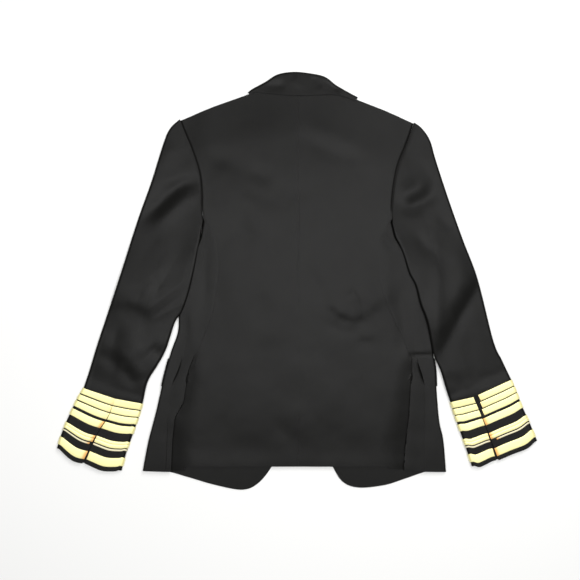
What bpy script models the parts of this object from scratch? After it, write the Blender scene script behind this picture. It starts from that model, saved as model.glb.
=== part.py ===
"""Pilot uniform jacket, laid flat on its front with its back up.

Drafting axes, in millimetres: x across with 0 at the centre back, y up the
back with 0 at the back hem, z up from the floor. A parent empty then puts the
middle of the whole jacket over the origin. "left" is the side at negative x.
"""
import bpy
import bmesh
import numpy as np

MM = 0.001
LEFT = -1
RIGHT = 1
SIDES = ((LEFT, "left"), (RIGHT, "right"))

# Driving dimensions, millimetres
BODY_WALL = 2.0
SLEEVE_WALL = 1.8
FLAP_WALL = 1.6
LAPEL_WALL = 1.8
COLLAR_WALL = 2.2
BRAID_WALL = 1.0
SEAM_GAP = 0.3
SIDE_HEIGHT = 8.1
CENTRE_HEIGHT = 10.6
VENT_HEIGHT = 8.8
SHOULDER_HEIGHT = 4.4
NECK_HEIGHT = 7.0
SLEEVE_HEIGHT = 7.4
COLLAR_HEIGHT = 9.8
BODY_FOLD_RADIUS = 3.5
SLEEVE_FOLD_RADIUS = 5.0
CUFF_DEPTH = 128.0
CUFF_RAISE = 1.3
BUTTON_RADIUS = 10.0
BUTTON_HEIGHT = 2.6
BUTTON_ROWS = (150.0, 230.0, 310.0)
FLAP_LEVELS = (153.0, 180.0, 205.0)
SLEEVE_CLIMB_TOP = 466.0
SLEEVE_CLIMB_RUN = 34.0
OUTLINE_X = (-461.0, 456.0)
OUTLINE_Y = (-43.4, 750.1)

# Outlines of the body, (x, y)
SIDE_EDGE = {
    LEFT: [(-296, -8), (-285, 49), (-270, 106), (-255, 172), (-242, 218), (-229, 256),
           (-227, 292), (-222, 334), (-209, 382), (-198, 407), (-187, 432), (-184.8, 442), (-180.4, 467)],
    RIGHT: [(281, -10), (276, 49), (268, 87), (263, 144), (261, 182), (257, 209),
            (255, 240), (251, 275), (243, 308), (234, 343), (221, 369), (207, 399), (186.5, 432),
            (183, 441), (177.4, 464)],
}
ARMHOLE = {
    LEFT: [(-180.8, 467), (-184, 490), (-184.5, 520), (-189, 560), (-204, 606), (-212, 625), (-225, 657)],
    RIGHT: [(177.8, 464), (178.5, 495), (182, 533), (190, 573), (203, 606), (211, 627), (219, 652)],
}
SHOULDER = {
    LEFT: [(-225, 657), (-160, 684), (-92, 708)],
    RIGHT: [(219, 652), (165, 676), (101, 701)],
}
NECK = [(-92, 708), (-75, 714), (-50, 716), (0, 714), (40, 714), (75, 710), (101, 701)]
BACK_SEAM = {
    LEFT: [(-218, 0), (-215, 49), (-205, 125), (-199, 180), (-190, 218), (-176, 256), (-163, 296),
           (-155, 340), (-152, 385), (-155, 420), (-164, 450), (-182.6, 483)],
    RIGHT: [(175, 0), (172, 49), (190, 120), (203, 178), (209, 208), (200, 240), (184, 275),
            (168, 312), (157, 350), (153, 390), (156, 422), (165, 450), (178.6, 481)],
}
FRONT_SEAM = {
    LEFT: [(-252, -10), (-249, 60), (-246, 120), (-238, 156), (-222, 196), (-214, 240), (-209, 290),
           (-203, 340), (-192, 385), (-180, 422), (-174, 450), (-181.4, 475)],
    RIGHT: [(241, -10), (240, 60), (241, 130), (234, 170), (223, 204), (220, 250), (218, 290),
            (213, 330), (201, 367), (188, 400), (176, 428), (169.5, 452), (178.2, 472)],
}
FRONT_HEM = {
    LEFT: [(-292, -10), (-251, -10), (-210, -21), (-158, -36), (-107, -45), (-77, -33), (-50, 0),
           (-25, 50), (20, 130)],
    RIGHT: [(277, -10), (246, -10), (203, -24), (165, -36), (116, -41), (86, -31), (67, -4),
            (40, 50), (-20, 130)],
}
ROLL_LINE = {
    LEFT: [(20, 130), (20, 330), (-10, 430), (-50, 570), (-84, 700)],
    RIGHT: [(-20, 130), (-20, 330), (10, 440), (62, 570), (98, 692)],
}
LAPEL_EDGE = {
    LEFT: [(14, 350), (-25, 400), (-70, 480), (-110, 560), (-130, 612)],
    RIGHT: [(2, 412), (35, 450), (80, 510), (118, 570), (138, 612)],
}
LAPEL_ROLL = {
    LEFT: [(18, 356), (-12, 440), (-46, 560), (-68, 640)],
    RIGHT: [(4, 418), (28, 480), (60, 570), (82, 640)],
}
COLLAR_FOLD = [(-96, 711), (-87, 718), (-63, 731), (-40, 745), (-12, 750), (18, 748), (50, 741),
               (72, 725), (96, 711), (113, 702)]
COLLAR_FALL = [(-91, 707), (-80, 711), (-62, 709), (-43, 707), (-15, 705), (15, 705), (45, 706),
               (70, 706), (92, 701), (109, 694)]
COLLAR_UNDER = [(-134, 630), (-104, 650), (-72, 676), (-42, 694), (-14, 700), (16, 700), (46, 694),
                (78, 674), (112, 650), (144, 628)]

# Outlines of the sleeves, (x, y), from the armhole to the cuff braid and then to the cuff end
SLEEVE_OUTER = {
    LEFT: [(-226, 660), (-243, 644), (-255, 619), (-279, 543), (-306, 467), (-342, 353), (-380, 239),
           (-397, 184), (-408, 150)],
    RIGHT: [(221, 654), (236, 642), (251, 619), (262, 581), (287, 505), (314, 429), (342, 353),
            (371, 239), (388, 201), (405, 165)],
}
CUFF_OUTER = {
    LEFT: [(-408, 150), (-421, 128), (-440, 88), (-450, 63), (-459, 35)],
    RIGHT: [(405, 165), (415, 142), (425, 116), (438, 88), (447, 66), (454, 49)],
}
SLEEVE_INNER = {
    LEFT: [(-181.2, 467), (-188, 429), (-196, 382), (-207, 334), (-220, 296), (-234, 274), (-251, 223),
           (-267, 193), (-286, 161), (-296, 119)],
    RIGHT: [(178.2, 464), (184, 439), (192, 422), (201, 397), (210, 367), (222, 343), (231, 308),
            (243, 275), (256, 215), (270, 182), (281, 146), (289, 122)],
}
CUFF_INNER = {
    LEFT: [(-296, 119), (-304, 92), (-315, 60), (-326, 28), (-334, -1)],
    RIGHT: [(289, 122), (298, 94), (308, 65), (319, 35), (329, 5)],
}
HIND_SEAM = {
    LEFT: [(-204, 606), (-222, 560), (-238, 500), (-258, 420), (-280, 340), (-306, 250), (-332, 170),
           (-348, 129)],
    RIGHT: [(203, 606), (216, 555), (233, 500), (254, 425), (277, 350), (303, 250), (322, 175),
            (332, 132)],
}
VENT_LINE = {
    LEFT: [(-348, 129), (-361, 95), (-382, 62), (-408, 6)],
    RIGHT: [(332, 132), (345, 103), (358, 70), (378, 12)],
}
FORE_SEAM = {
    LEFT: [(-187, 548), (-192, 500), (-204, 440), (-226, 353), (-262, 245), (-292, 180), (-313, 124)],
    RIGHT: [(185, 548), (190, 500), (204, 440), (234, 353), (266, 245), (288, 180), (306, 128)],
}
CUFF_FORE = {
    LEFT: [(-313, 124), (-333, 64), (-353, -7)],
    RIGHT: [(306, 128), (328, 66), (350, 2)],
}
CUFF_END = {
    LEFT: {"outer": [(-436, 16), (-424, 9)], "inner": [(-395, 1), (-373, -8), (-350, -9)],
           "under": [(-440, 22), (-415, 9), (-385, 0)]},
    RIGHT: {"outer": [(434, 34), (406, 23)], "inner": [(368, 10), (352, 3), (340, 1)],
            "under": [(436, 38), (410, 27), (380, 14)]},
}
# Soft creases: start, end, half width, height (minus is a trough)
BACK_CREASES = [
    ((10, 620), (98, 560), 17, -1.3),
    ((60, 640), (190, 585), 22, 1.4),
    ((140, 668), (160, 640), 14, -1.2),
    ((64, 293), (88, 280), 10, -2.0),
    ((88, 280), (120, 280), 10, -2.2),
    ((120, 280), (145, 291), 10, -1.8),
    ((70, 320), (135, 318), 16, 1.3),
    ((70, 255), (140, 250), 18, 1.2),
    ((116, 238), (140, 236), 12, -1.0),
    ((-140, 560), (-55, 524), 14, 1.3),
    ((-165, 520), (-105, 480), 14, -1.1),
    ((-120, 500), (-95, 470), 14, -1.0),
    ((5, 380), (45, 330), 13, -1.1),
    ((-60, 610), (20, 600), 20, -0.8),
    ((-35, 76), (0, 42), 16, -0.9),
]
SIDE_CREASES = {
    LEFT: [((-180, 430), (-178, 300), 15, -1.5), ((-205, 285), (-195, 225), 14, 0.8)],
    RIGHT: [((192, 330), (200, 235), 17, -1.6), ((168, 320), (172, 400), 12, 0.9)],
}
SLEEVE_CREASES = {
    LEFT: [((-198, 540), (-255, 524), 15, -1.5), ((-255, 524), (-298, 464), 15, -1.3),
           ((-350, 321), (-302, 323), 13, -1.9), ((-302, 323), (-287, 258), 14, -1.4),
           ((-330, 350), (-270, 350), 18, 0.9), ((-376, 207), (-345, 196), 16, -1.3),
           ((-330, 183), (-312, 160), 14, -1.1), ((-268, 350), (-264, 300), 12, -1.0),
           ((-300, 420), (-330, 300), 16, 0.7), ((-350, 260), (-372, 185), 15, 0.8)],
    RIGHT: [((201, 496), (258, 534), 17, -1.6), ((226, 444), (249, 400), 16, -1.4),
            ((262, 418), (262, 236), 10, 1.4), ((340, 359), (300, 290), 19, -1.8),
            ((300, 290), (262, 208), 18, -2.0), ((330, 275), (365, 195), 20, 0.9),
            ((270, 475), (290, 455), 16, -0.9), ((335, 172), (391, 178), 15, -1.0)],
}

# Braid rows on a cuff: distance of the lower edge from the cuff end, width
BRAID_ROWS = [(116.0, 12.0), (102.4, 11.6), (88.5, 12.0), (70.0, 13.5), (42.2, 12.0), (37.0, 3.0), (8.5, 15.5)]

# Colours, linear, with roughness
CLOTH = ("uniform_cloth", (0.016, 0.015, 0.014), 0.75, 0.0)
BRAID = ("gold_braid", (0.80, 0.66, 0.30), 0.42, 0.6)
THIN_BRAID = ("pale_braid", (0.70, 0.62, 0.40), 0.45, 0.5)
BUTTON = ("brass_button", (0.72, 0.52, 0.20), 0.3, 1.0)


def line(points, shares):
    """Points at these shares of the length of a smooth curve through the given points."""
    knots = np.array(points, float)
    padded = np.vstack([2 * knots[0] - knots[1], knots, 2 * knots[-1] - knots[-2]])
    t = np.linspace(0, 1, 11)[:, None]
    runs = []
    for a, b, c, d in zip(padded, padded[1:], padded[2:], padded[3:]):
        runs.append(0.5 * (2 * b + (c - a) * t + (2 * a - 5 * b + 4 * c - d) * t ** 2
                           + (3 * b - a - 3 * c + d) * t ** 3))
    fine = np.vstack(runs)
    length = np.concatenate([[0], np.cumsum(np.hypot(*np.diff(fine, axis=0).T))])
    where = np.asarray(shares) * length[-1]
    return np.column_stack([np.interp(where, length, fine[:, 0]), np.interp(where, length, fine[:, 1])])


def steps(count):
    return np.linspace(0, 1, count + 1)


def side_shares(side):
    """Rows of the side edge from hem to underarm, with rows on the pocket flap's edges."""
    probe = line(SIDE_EDGE[side], steps(200))
    low, middle, high = np.interp(FLAP_LEVELS, probe[:, 1], steps(200))
    below = steps(7)[:-1] * low
    above = high + steps(11)[1:] * (1 - high)
    return np.concatenate([below, [low, middle, high], above])


def smooth(value):
    """Soft step from 0 to 1 as the value goes from 0 to 1."""
    value = np.clip(value, 0, 1)
    return value * value * (3 - 2 * value)


def shifted(points, dx):
    return points + np.array([dx, 0.0])


def height_of_crossing(points, x):
    """The y of an outline at x, for outlines that run across."""
    table = np.array(sorted(points), float)
    return np.interp(x, table[:, 0], table[:, 1])


def side_edge_x(side, y):
    table = np.array(SIDE_EDGE[side], float)
    return np.interp(y, table[:, 1], table[:, 0])


def creased(x, y, creases):
    """Sum of soft troughs and ridges, each along its own straight run."""
    total = np.zeros_like(x)
    for start, end, half_width, height in creases:
        start, end = np.array(start, float), np.array(end, float)
        run = end - start
        share = np.clip(((x - start[0]) * run[0] + (y - start[1]) * run[1]) / (run @ run), 0, 1)
        away = np.hypot(x - start[0] - share * run[0], y - start[1] - share * run[1])
        total += height * np.exp(-(away / half_width) ** 2)
    return total


def body_top(x, y, creases=True):
    """Upper face of the cloth over the whole body."""
    across = np.abs(x)
    centre = np.exp(-(across / 120.0) ** 4) * smooth((y - 20) / 90)
    top = SIDE_HEIGHT + (CENTRE_HEIGHT - SIDE_HEIGHT) * centre
    vent = smooth((across - 130) / 40) * (1 - smooth((y - 215) / 40))
    top = np.maximum(top, SIDE_HEIGHT + (VENT_HEIGHT - SIDE_HEIGHT) * vent)
    shoulder = np.where(x < NECK[0][0], height_of_crossing(SHOULDER[LEFT], x),
                        np.where(x > NECK[-1][0], height_of_crossing(SHOULDER[RIGHT], x),
                                 height_of_crossing(NECK, x)))
    edge = SHOULDER_HEIGHT + (NECK_HEIGHT - SHOULDER_HEIGHT) * (1 - smooth((across - 165) / 50))
    rise = smooth((shoulder - y) / 55)
    if creases:
        calm = smooth((side_distance(x, y) - 4) / 22)
        top = top + creased(x, y, BACK_CREASES) * smooth((shoulder - y) / 70) * calm
    return edge + (top - edge) * rise


def side_distance(x, y):
    """How far a point lies inside the body's side edge or armhole."""
    edge = np.where(x < 0, -outer_limit(LEFT, y), outer_limit(RIGHT, y))
    return edge - np.abs(x)


def outer_limit(side, y):
    table = np.array(SIDE_EDGE[side] + ARMHOLE[side][1:], float)
    return np.interp(y, table[:, 1], table[:, 0])


def front_lift(side, x, y):
    """How high the front's outer face lies: it rides over buttons, lapels and flaps."""
    out = x * side
    reach = np.interp(y, [60, 100, 340, 560, 720], [35, 38, 48, 146, 150])
    if side == LEFT:
        amount = np.interp(y, [60, 100, 420, 470], [0, 2.9, 2.9, 2.5])
    else:
        amount = np.interp(y, [40, 80, 420, 480], [0, 5.4, 5.4, 2.5])
    centre = amount * (1 - smooth((out - reach) / 36))
    near_shoulder = smooth((out - 150) / 26) * smooth((y - 630) / 40)
    centre = centre * (1 - near_shoulder)
    flap = smooth((y - 64) / 22) * (1 - smooth((y - 228) / 22)) * smooth((out - 72) / 26)
    return np.maximum(centre, (FLAP_WALL + SEAM_GAP) * flap)


def sleeve_lift(side, x, y):
    """How high the sleeve rides where its inner edge lies on the body's side."""
    inside = (side_edge_x(side, y) - x) * side
    climb = smooth((SLEEVE_CLIMB_TOP - y) / SLEEVE_CLIMB_RUN)
    return (SIDE_HEIGHT + 0.45) * climb * smooth((inside + 30) / 27)


def span(rail_a, rail_b, shares, first=None, last=None, first_reach=None, last_reach=None):
    """Rows of points from rail a to rail b; the end rows follow their own curves."""
    u = np.asarray(shares)[None, :, None]
    plain = rail_a[:, None] * (1 - u) + rail_b[:, None] * u
    v = steps(len(rail_a) - 1)
    grid = plain.copy()
    if first is not None:
        weight = (1 - v) ** 2 if first_reach is None else first_reach
        grid += weight[:, None, None] * (first - plain[0])[None]
    if last is not None:
        weight = v ** 2 if last_reach is None else last_reach
        grid += weight[:, None, None] * (last - plain[-1])[None]
    return grid


def inward(edge, side_x):
    """Unit normals of an edge that runs up or down, towards side_x."""
    along = np.gradient(edge, axis=0)
    normal = np.column_stack([along[:, 1], -along[:, 0]])
    normal /= np.hypot(normal[:, 0], normal[:, 1])[:, None]
    return normal * np.where(normal[:, 0] * side_x < 0, -1, 1)[:, None]


def stack(xy, z):
    return np.dstack([xy[..., 0], xy[..., 1], z])


def wrapped(upper, lower, edge, centre, top, low, inset, turns=2):
    """Cloth that lies above, turns round an edge and runs back below.

    upper ends and lower begins on the line of centres. top and low give the
    outer faces; inset is the depth under them, or minus above them.
    """
    radius = (centre - edge)[:, None]
    high = top(centre[:, 0], centre[:, 1])
    floor = low(centre[:, 0], centre[:, 1])
    half = (high - floor)[:, None] / 2
    middle = (high + floor)[:, None] / 2
    reach = np.hypot(radius[..., 0], radius[..., 1])
    angle = np.linspace(0, np.pi, 2 * turns + 1)[None, 1:-1]
    out = (1 - inset / reach)[..., None] * radius
    turn_xy = centre[:, None] - out * np.sin(angle)[..., None]
    turn = stack(turn_xy, middle + (half - inset) * np.cos(angle))
    above = stack(upper, top(upper[..., 0], upper[..., 1]) - inset)
    below = stack(lower, low(lower[..., 0], lower[..., 1]) + inset)
    return np.concatenate([above, turn, below], axis=1)


def material(spec):
    name, colour, roughness, metallic = spec
    made = bpy.data.materials.get(name)
    if made is None:
        made = bpy.data.materials.new(name)
        made.use_nodes = True
        shader = made.node_tree.nodes["Principled BSDF"]
        shader.inputs["Base Color"].default_value = (*colour, 1)
        shader.inputs["Roughness"].default_value = roughness
        shader.inputs["Metallic"].default_value = metallic
        made.diffuse_color = (*colour, 1)
    return made


def add_object(name, bm, spec):
    mesh = bpy.data.meshes.new(name)
    bmesh.ops.recalc_face_normals(bm, faces=bm.faces)
    if bm.calc_volume(signed=True) < 0:
        bmesh.ops.reverse_faces(bm, faces=bm.faces)
    bm.to_mesh(mesh)
    bm.free()
    mesh.shade_smooth()
    mesh.set_sharp_from_angle(angle=0.9)
    mesh.materials.append(material(spec))
    piece = bpy.data.objects.new(name, mesh)
    bpy.context.collection.objects.link(piece)
    piece.parent = JACKET
    return piece


def cloth(name, outer, inner, spec=CLOTH):
    """One closed wall of cloth between its outer and its inner face."""
    rows, columns = outer.shape[0] - 1, outer.shape[1] - 1
    bm = bmesh.new()
    bmesh.ops.create_grid(bm, x_segments=columns, y_segments=rows, size=0.5)
    sheet = [(vert, round((vert.co.y + 0.5) * rows), round((vert.co.x + 0.5) * columns)) for vert in bm.verts]
    raised = bmesh.ops.extrude_face_region(bm, geom=bm.faces[:])["geom"]
    lifted = {}
    for vert in (item for item in raised if isinstance(item, bmesh.types.BMVert)):
        lifted[(round((vert.co.y + 0.5) * rows), round((vert.co.x + 0.5) * columns))] = vert
    for vert, row, column in sheet:
        vert.co = inner[row, column] * MM
        lifted[(row, column)].co = outer[row, column] * MM
    return add_object(name, bm, spec)


def back_rows(side, seam_rows, armhole_rows):
    seam = line(BACK_SEAM[side], steps(seam_rows))
    start = armhole_share(side)
    hole = line(ARMHOLE[side], start + (1 - start) * steps(armhole_rows))
    return shifted(np.vstack([seam, hole[1:]]), -side * 0.35)


def armhole_share(side):
    """Share of the armhole, from the underarm, where the side-back seam meets it."""
    probe = line(ARMHOLE[side], steps(200))
    return steps(200)[np.argmin(np.abs(probe[:, 1] - BACK_SEAM[side][-1][1]))]


def back_panel(side, name):
    outer_rail = back_rows(side, len(side_shares(side)) - 1, 8)
    count = len(outer_rail) - 1
    centre_top = height_of_crossing(NECK, 0.0)
    centre_rail = np.column_stack([np.full(count + 1, side * SEAM_GAP / 2), steps(count) * centre_top])
    shares = steps(9)
    across = outer_rail[-1, 0] * (1 - shares) + centre_rail[-1, 0] * shares
    top_line = np.column_stack([across, neck_and_shoulder(across)])
    flat = span(outer_rail, centre_rail, shares, last=top_line)
    x, y = flat[..., 0], flat[..., 1]
    top = body_top(x, y)
    seam = np.exp(-(np.arange(len(shares)) / 0.5) ** 2)[None, :]
    top = top - 0.5 * seam * smooth((y - 200) / 20)
    cloth("back_" + name, stack(flat, top), stack(flat, top - BODY_WALL))


def neck_and_shoulder(x):
    return np.where(x < NECK[0][0], height_of_crossing(SHOULDER[LEFT], x),
                    np.where(x > NECK[-1][0], height_of_crossing(SHOULDER[RIGHT], x),
                             height_of_crossing(NECK, x)))


def vent_edge_x(side, y):
    table = np.array(BACK_SEAM[side][:6], float)
    return np.interp(y, table[:, 1], table[:, 0])


def side_panel(side, name):
    rows = side_shares(side)
    front_rail = shifted(line(FRONT_SEAM[side], rows), -side * 0.35)
    back_rail = line(BACK_SEAM[side], steps(len(rows) - 1))
    tuck = 1 - smooth((back_rail[:, 1] - 164) / 22)
    back_rail = shifted(back_rail, side * 0.35)
    back_rail[:, 0] -= side * 24 * tuck
    shares = np.array([0.0, 0.3, 0.55, 0.72, 0.86, 1.0])
    first = span(front_rail[:1], back_rail[:1], shares)[0]
    first[:, 1] = np.interp(np.abs(first[:, 0]), [180, 205, 252], [-4, -7, -10])
    flat = span(front_rail, back_rail, shares, first=first)
    x, y = flat[..., 0], flat[..., 1]
    top = body_top(x, y) + creased(x, y, SIDE_CREASES[side])
    width = np.interp(y, [0, 49, 120, 182, 215], [24, 23, 14, 12, 8])
    past_edge = (x - vent_edge_x(side, y)) * side
    under = body_top(x, y) - BODY_WALL - 0.45
    bottom_of_dip = under - np.interp(y, [40, 75], [1.7, 0])
    dip_here = (1 - smooth((past_edge - 2) / width)) * (1 - smooth((y - 200) / 12))
    top = top * (1 - dip_here) + bottom_of_dip * dip_here
    cloth("side_" + name, stack(flat, top), stack(flat, top - BODY_WALL))


def front_points(side, rows, up_shares, low_shares, inset):
    """Points of a front at these shares of its side edge, from hem to underarm."""
    edge = line(SIDE_EDGE[side], rows)
    centre = edge + inward(edge, -side) * BODY_FOLD_RADIUS
    seam = shifted(line(FRONT_SEAM[side], rows), side * 0.35)
    roll = line(ROLL_LINE[side], rows ** 1.7)
    upper = span(seam, centre, up_shares)
    hem = line(FRONT_HEM[side], low_shares)
    half = np.clip(low_shares * 2, 0, 1)
    rest = np.clip(low_shares * 2 - 1, 0, 1)
    hole = shifted(line(ARMHOLE[side], half), -side * 1.8)
    shoulder = line(SHOULDER[side][:-1] + [ROLL_LINE[side][-1]], rest)
    head = np.where((low_shares <= 0.5)[:, None], hole, shoulder)
    lower = span_between(centre, roll, low_shares, hem, head, rows, side)

    def top(x, y):
        return body_top(x, y) + creased(x, y, SIDE_CREASES[side]) * 0.6

    def low(x, y):
        return front_lift(side, x, y)

    return wrapped(upper, lower, edge, centre, top, low, inset)


def centre_at_ends(side):
    edge = line(SIDE_EDGE[side], steps(20))
    middle = edge + inward(edge, -side) * BODY_FOLD_RADIUS
    return middle[0], middle[-1]


def span_between(centre, roll, shares, first, last, rows, side):
    """Lower face of a front at any rows of it; the end curves fade with the row."""
    u = shares[None, :, None]
    start, end = centre_at_ends(side)
    roll_start = np.array(ROLL_LINE[side][0], float)
    roll_end = np.array(ROLL_LINE[side][-1], float)
    first_plain = start * (1 - u[0]) + roll_start * u[0]
    last_plain = end * (1 - u[0]) + roll_end * u[0]
    v = rows[:, None, None]
    plain = centre[:, None] * (1 - u) + roll[:, None] * u
    pull_first = first - first_plain
    pull_last = last - last_plain
    pull_first[0] = 0
    pull_last[0] = 0
    return plain + (1 - v) ** 2 * pull_first[None] + v ** 6 * pull_last[None]


def front_panel(side, name):
    rows = side_shares(side)
    up = np.array([0.0, 0.5, 1.0])
    low = steps(12)
    outer = front_points(side, rows, up, low, 0.0)
    inner = front_points(side, rows, up, low, BODY_WALL)
    cloth("front_" + name, outer, inner)


def flap(side, name):
    probe = line(SIDE_EDGE[side], steps(200))
    rows = np.interp(FLAP_LEVELS, probe[:, 1], steps(200))
    up = np.array([0.1, 0.5, 1.0])
    low = steps(12)[:5]
    outer = front_points(side, rows, up, low, -SEAM_GAP - FLAP_WALL)
    inner = front_points(side, rows, up, low, -SEAM_GAP)
    cloth("pocket_flap_" + name, outer, inner)


def lapel(side, name):
    rows = steps(9)
    edge = line(LAPEL_EDGE[side], rows)
    roll = line(LAPEL_ROLL[side], rows)
    flat = span(edge, roll, steps(3))
    bottom = np.zeros(flat.shape[:2])
    cloth("lapel_" + name, stack(flat, bottom), stack(flat, bottom + LAPEL_WALL))


def collar():
    rows = steps(18)
    fold = line(COLLAR_FOLD, rows)
    fall = line(COLLAR_FALL, rows)
    under = line(COLLAR_UNDER, rows)
    depth = np.hypot(*(fold - fall).T)
    towards = (fall - fold) / depth[:, None]
    radius = np.clip(depth * 0.5, 2.6, 4.5)
    centre = fold + towards * radius[:, None]
    upper = span(fall, centre, steps(3))
    lower = span(centre, under, steps(4))

    def top(x, y):
        return COLLAR_HEIGHT + 0 * x

    def low(x, y):
        return 1.4 * (1 - smooth((np.abs(x) - 30) / 35))

    outer = wrapped(upper, lower, fold, centre, top, low, 0.0)
    inner = wrapped(upper, lower, fold, centre, top, low, COLLAR_WALL)
    cloth("collar", outer, inner)


def sleeve_line(above, below, rows):
    """A sleeve line at rows 0..1 above the braid and 1..2 down the cuff."""
    return np.vstack([line(above, rows[rows <= 1]), line(below, rows[rows > 1] - 1)])


def sleeve_heights(side, rows):
    raised = CUFF_RAISE * smooth((rows - 0.955) / 0.04)

    def shaped(x):
        return raised if np.ndim(x) == 1 else raised[:, None]

    def top(x, y):
        return (SLEEVE_HEIGHT + shaped(x) + sleeve_lift(side, x, y)
                + creased(x, y, SLEEVE_CREASES[side]))

    def low(x, y):
        return shaped(x) + sleeve_lift(side, x, y)

    return top, low


def end_curve(start, via, end, shares):
    return line([tuple(start)] + list(via) + [tuple(end)], shares)


def top_sleeve_points(side, rows, inset, up_count=3, low_count=4):
    edge = sleeve_line(SLEEVE_OUTER[side], CUFF_OUTER[side], rows)
    radius = SLEEVE_FOLD_RADIUS * (0.5 + 0.5 * smooth(rows / 0.1))
    centre = edge + inward(edge, -side) * radius[:, None]
    split = np.clip(rows - 1, 0, 1) * 1.2
    seam = sleeve_line(HIND_SEAM[side], VENT_LINE[side], rows)
    seam = seam + np.column_stack([side * (0.35 + split), 0 * rows])
    fore = sleeve_line(FORE_SEAM[side], CUFF_FORE[side], rows)
    fore = shifted(fore, side * 0.35)
    up, low_shares = steps(up_count), steps(low_count)
    reach_top = np.clip(1 - rows * 1.6, 0, 1) ** 2
    reach_cuff = np.clip(rows - 1, 0, 1)
    hole = line(ARMHOLE[side], steps(200))
    head_up = armhole_run(hole, HIND_SEAM[side][0][1], centre[0], up, side)
    head_low = armhole_run(hole, FORE_SEAM[side][0][1], centre[0], low_shares, side)[::-1]
    ends = CUFF_END[side]
    upper = span(seam, centre, up, head_up, end_curve(seam[-1], ends["outer"][::-1], centre[-1], up),
                 reach_top, reach_cuff)
    lower = span(centre, fore, low_shares, head_low,
                 end_curve(centre[-1], ends["under"], fore[-1], low_shares), reach_top, reach_cuff)
    top, low = sleeve_heights(side, rows)
    return wrapped(upper, lower, edge, centre, top, low, inset)


def armhole_run(hole, from_y, end, shares, side):
    """Points along the armhole, just outside it, from a height up to the sleeve's tip."""
    start = np.argmin(np.abs(hole[:, 1] - from_y))
    run = hole[start:, :]
    length = np.linspace(0, 1, len(run))
    points = np.column_stack([np.interp(shares, length, run[:, 0]), np.interp(shares, length, run[:, 1])])
    points[:, 0] += side * 0.5
    points += shares[:, None] ** 6 * (end - points[-1])
    return points


def under_sleeve_points(side, rows, inset, up_count=4, low_count=2):
    edge = sleeve_line(SLEEVE_INNER[side], CUFF_INNER[side], rows)
    centre = edge + inward(edge, side) * SLEEVE_FOLD_RADIUS
    split = np.clip(rows - 1, 0, 1) * 1.2
    seam = sleeve_line(HIND_SEAM[side], VENT_LINE[side], rows)
    seam = seam - np.column_stack([side * (0.35 + split), 0 * rows])
    fore = shifted(sleeve_line(FORE_SEAM[side], CUFF_FORE[side], rows), -side * 0.35)
    up, low_shares = steps(up_count), steps(low_count)
    reach_top = np.clip(1 - rows * 1.6, 0, 1) ** 2
    reach_cuff = np.clip(rows - 1, 0, 1)
    hole = shifted(line(ARMHOLE[side], steps(200)), side * 0.5)
    head_up = underarm_run(hole, HIND_SEAM[side][0][1], centre[0], up)
    head_low = underarm_run(hole, FORE_SEAM[side][0][1], centre[0], low_shares)[::-1]
    ends = CUFF_END[side]
    upper = span(seam, centre, up, head_up, end_curve(seam[-1], ends["inner"], centre[-1], up),
                 reach_top, reach_cuff)
    lower = span(centre, fore, low_shares, head_low, None, reach_top, reach_cuff)
    top, low = sleeve_heights(side, rows)
    return wrapped(upper, lower, edge, centre, top, low, inset)


def underarm_run(hole, from_y, end, shares):
    """Points down the armhole from a height to the underarm, where the sleeve turns."""
    start = np.argmin(np.abs(hole[:, 1] - from_y))
    run = hole[:start + 1][::-1]
    length = np.linspace(0, 1, len(run))
    points = np.column_stack([np.interp(shares, length, run[:, 0]), np.interp(shares, length, run[:, 1])])
    return points + shares[:, None] ** 6 * (end - points[-1])


def sleeve_rows():
    return np.concatenate([steps(22), 1 + steps(5)[1:]])


def sleeves(side, name):
    rows = sleeve_rows()
    for kind, points in (("top", top_sleeve_points), ("under", under_sleeve_points)):
        cloth(kind + "_sleeve_" + name, points(side, rows, 0.0), points(side, rows, SLEEVE_WALL))


def braids(side, name):
    for number, (from_end, width) in enumerate(BRAID_ROWS, start=1):
        upper_edge = 2 - (from_end + width) / CUFF_DEPTH
        lower_edge = 2 - from_end / CUFF_DEPTH
        rows = np.concatenate([steps(22), [upper_edge, lower_edge, 2.0]])
        faces = []
        for inset in (-SEAM_GAP - BRAID_WALL, -SEAM_GAP):
            outside = top_sleeve_points(side, rows, inset)[-3:-1]
            inside = under_sleeve_points(side, rows, inset)[-3:-1]
            faces.append(np.concatenate([outside[:, :-1], inside[:, ::-1]], axis=1))
        spec = THIN_BRAID if width < 5 else BRAID
        cloth("braid_%s_%d" % (name, number), faces[0], faces[1], spec)


def buttons():
    for number, level in enumerate(BUTTON_ROWS, start=1):
        bm = bmesh.new()
        bmesh.ops.create_cone(bm, cap_ends=True, cap_tris=False, segments=20, radius1=BUTTON_RADIUS * 0.8 * MM,
                              radius2=BUTTON_RADIUS * MM, depth=BUTTON_HEIGHT * MM)
        bmesh.ops.translate(bm, verts=bm.verts, vec=(0, level * MM, BUTTON_HEIGHT / 2 * MM))
        add_object("front_button_%d" % number, bm, BUTTON)


for old in list(bpy.data.objects):
    bpy.data.objects.remove(old, do_unlink=True)

JACKET = bpy.data.objects.new("jacket_frame", None)
JACKET.location = (-sum(OUTLINE_X) / 2 * MM, -sum(OUTLINE_Y) / 2 * MM, 0)
bpy.context.collection.objects.link(JACKET)

for side, name in SIDES:
    back_panel(side, name)
    side_panel(side, name)
    front_panel(side, name)
    lapel(side, name)
    flap(side, name)
    sleeves(side, name)
    braids(side, name)
collar()
buttons()
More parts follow.
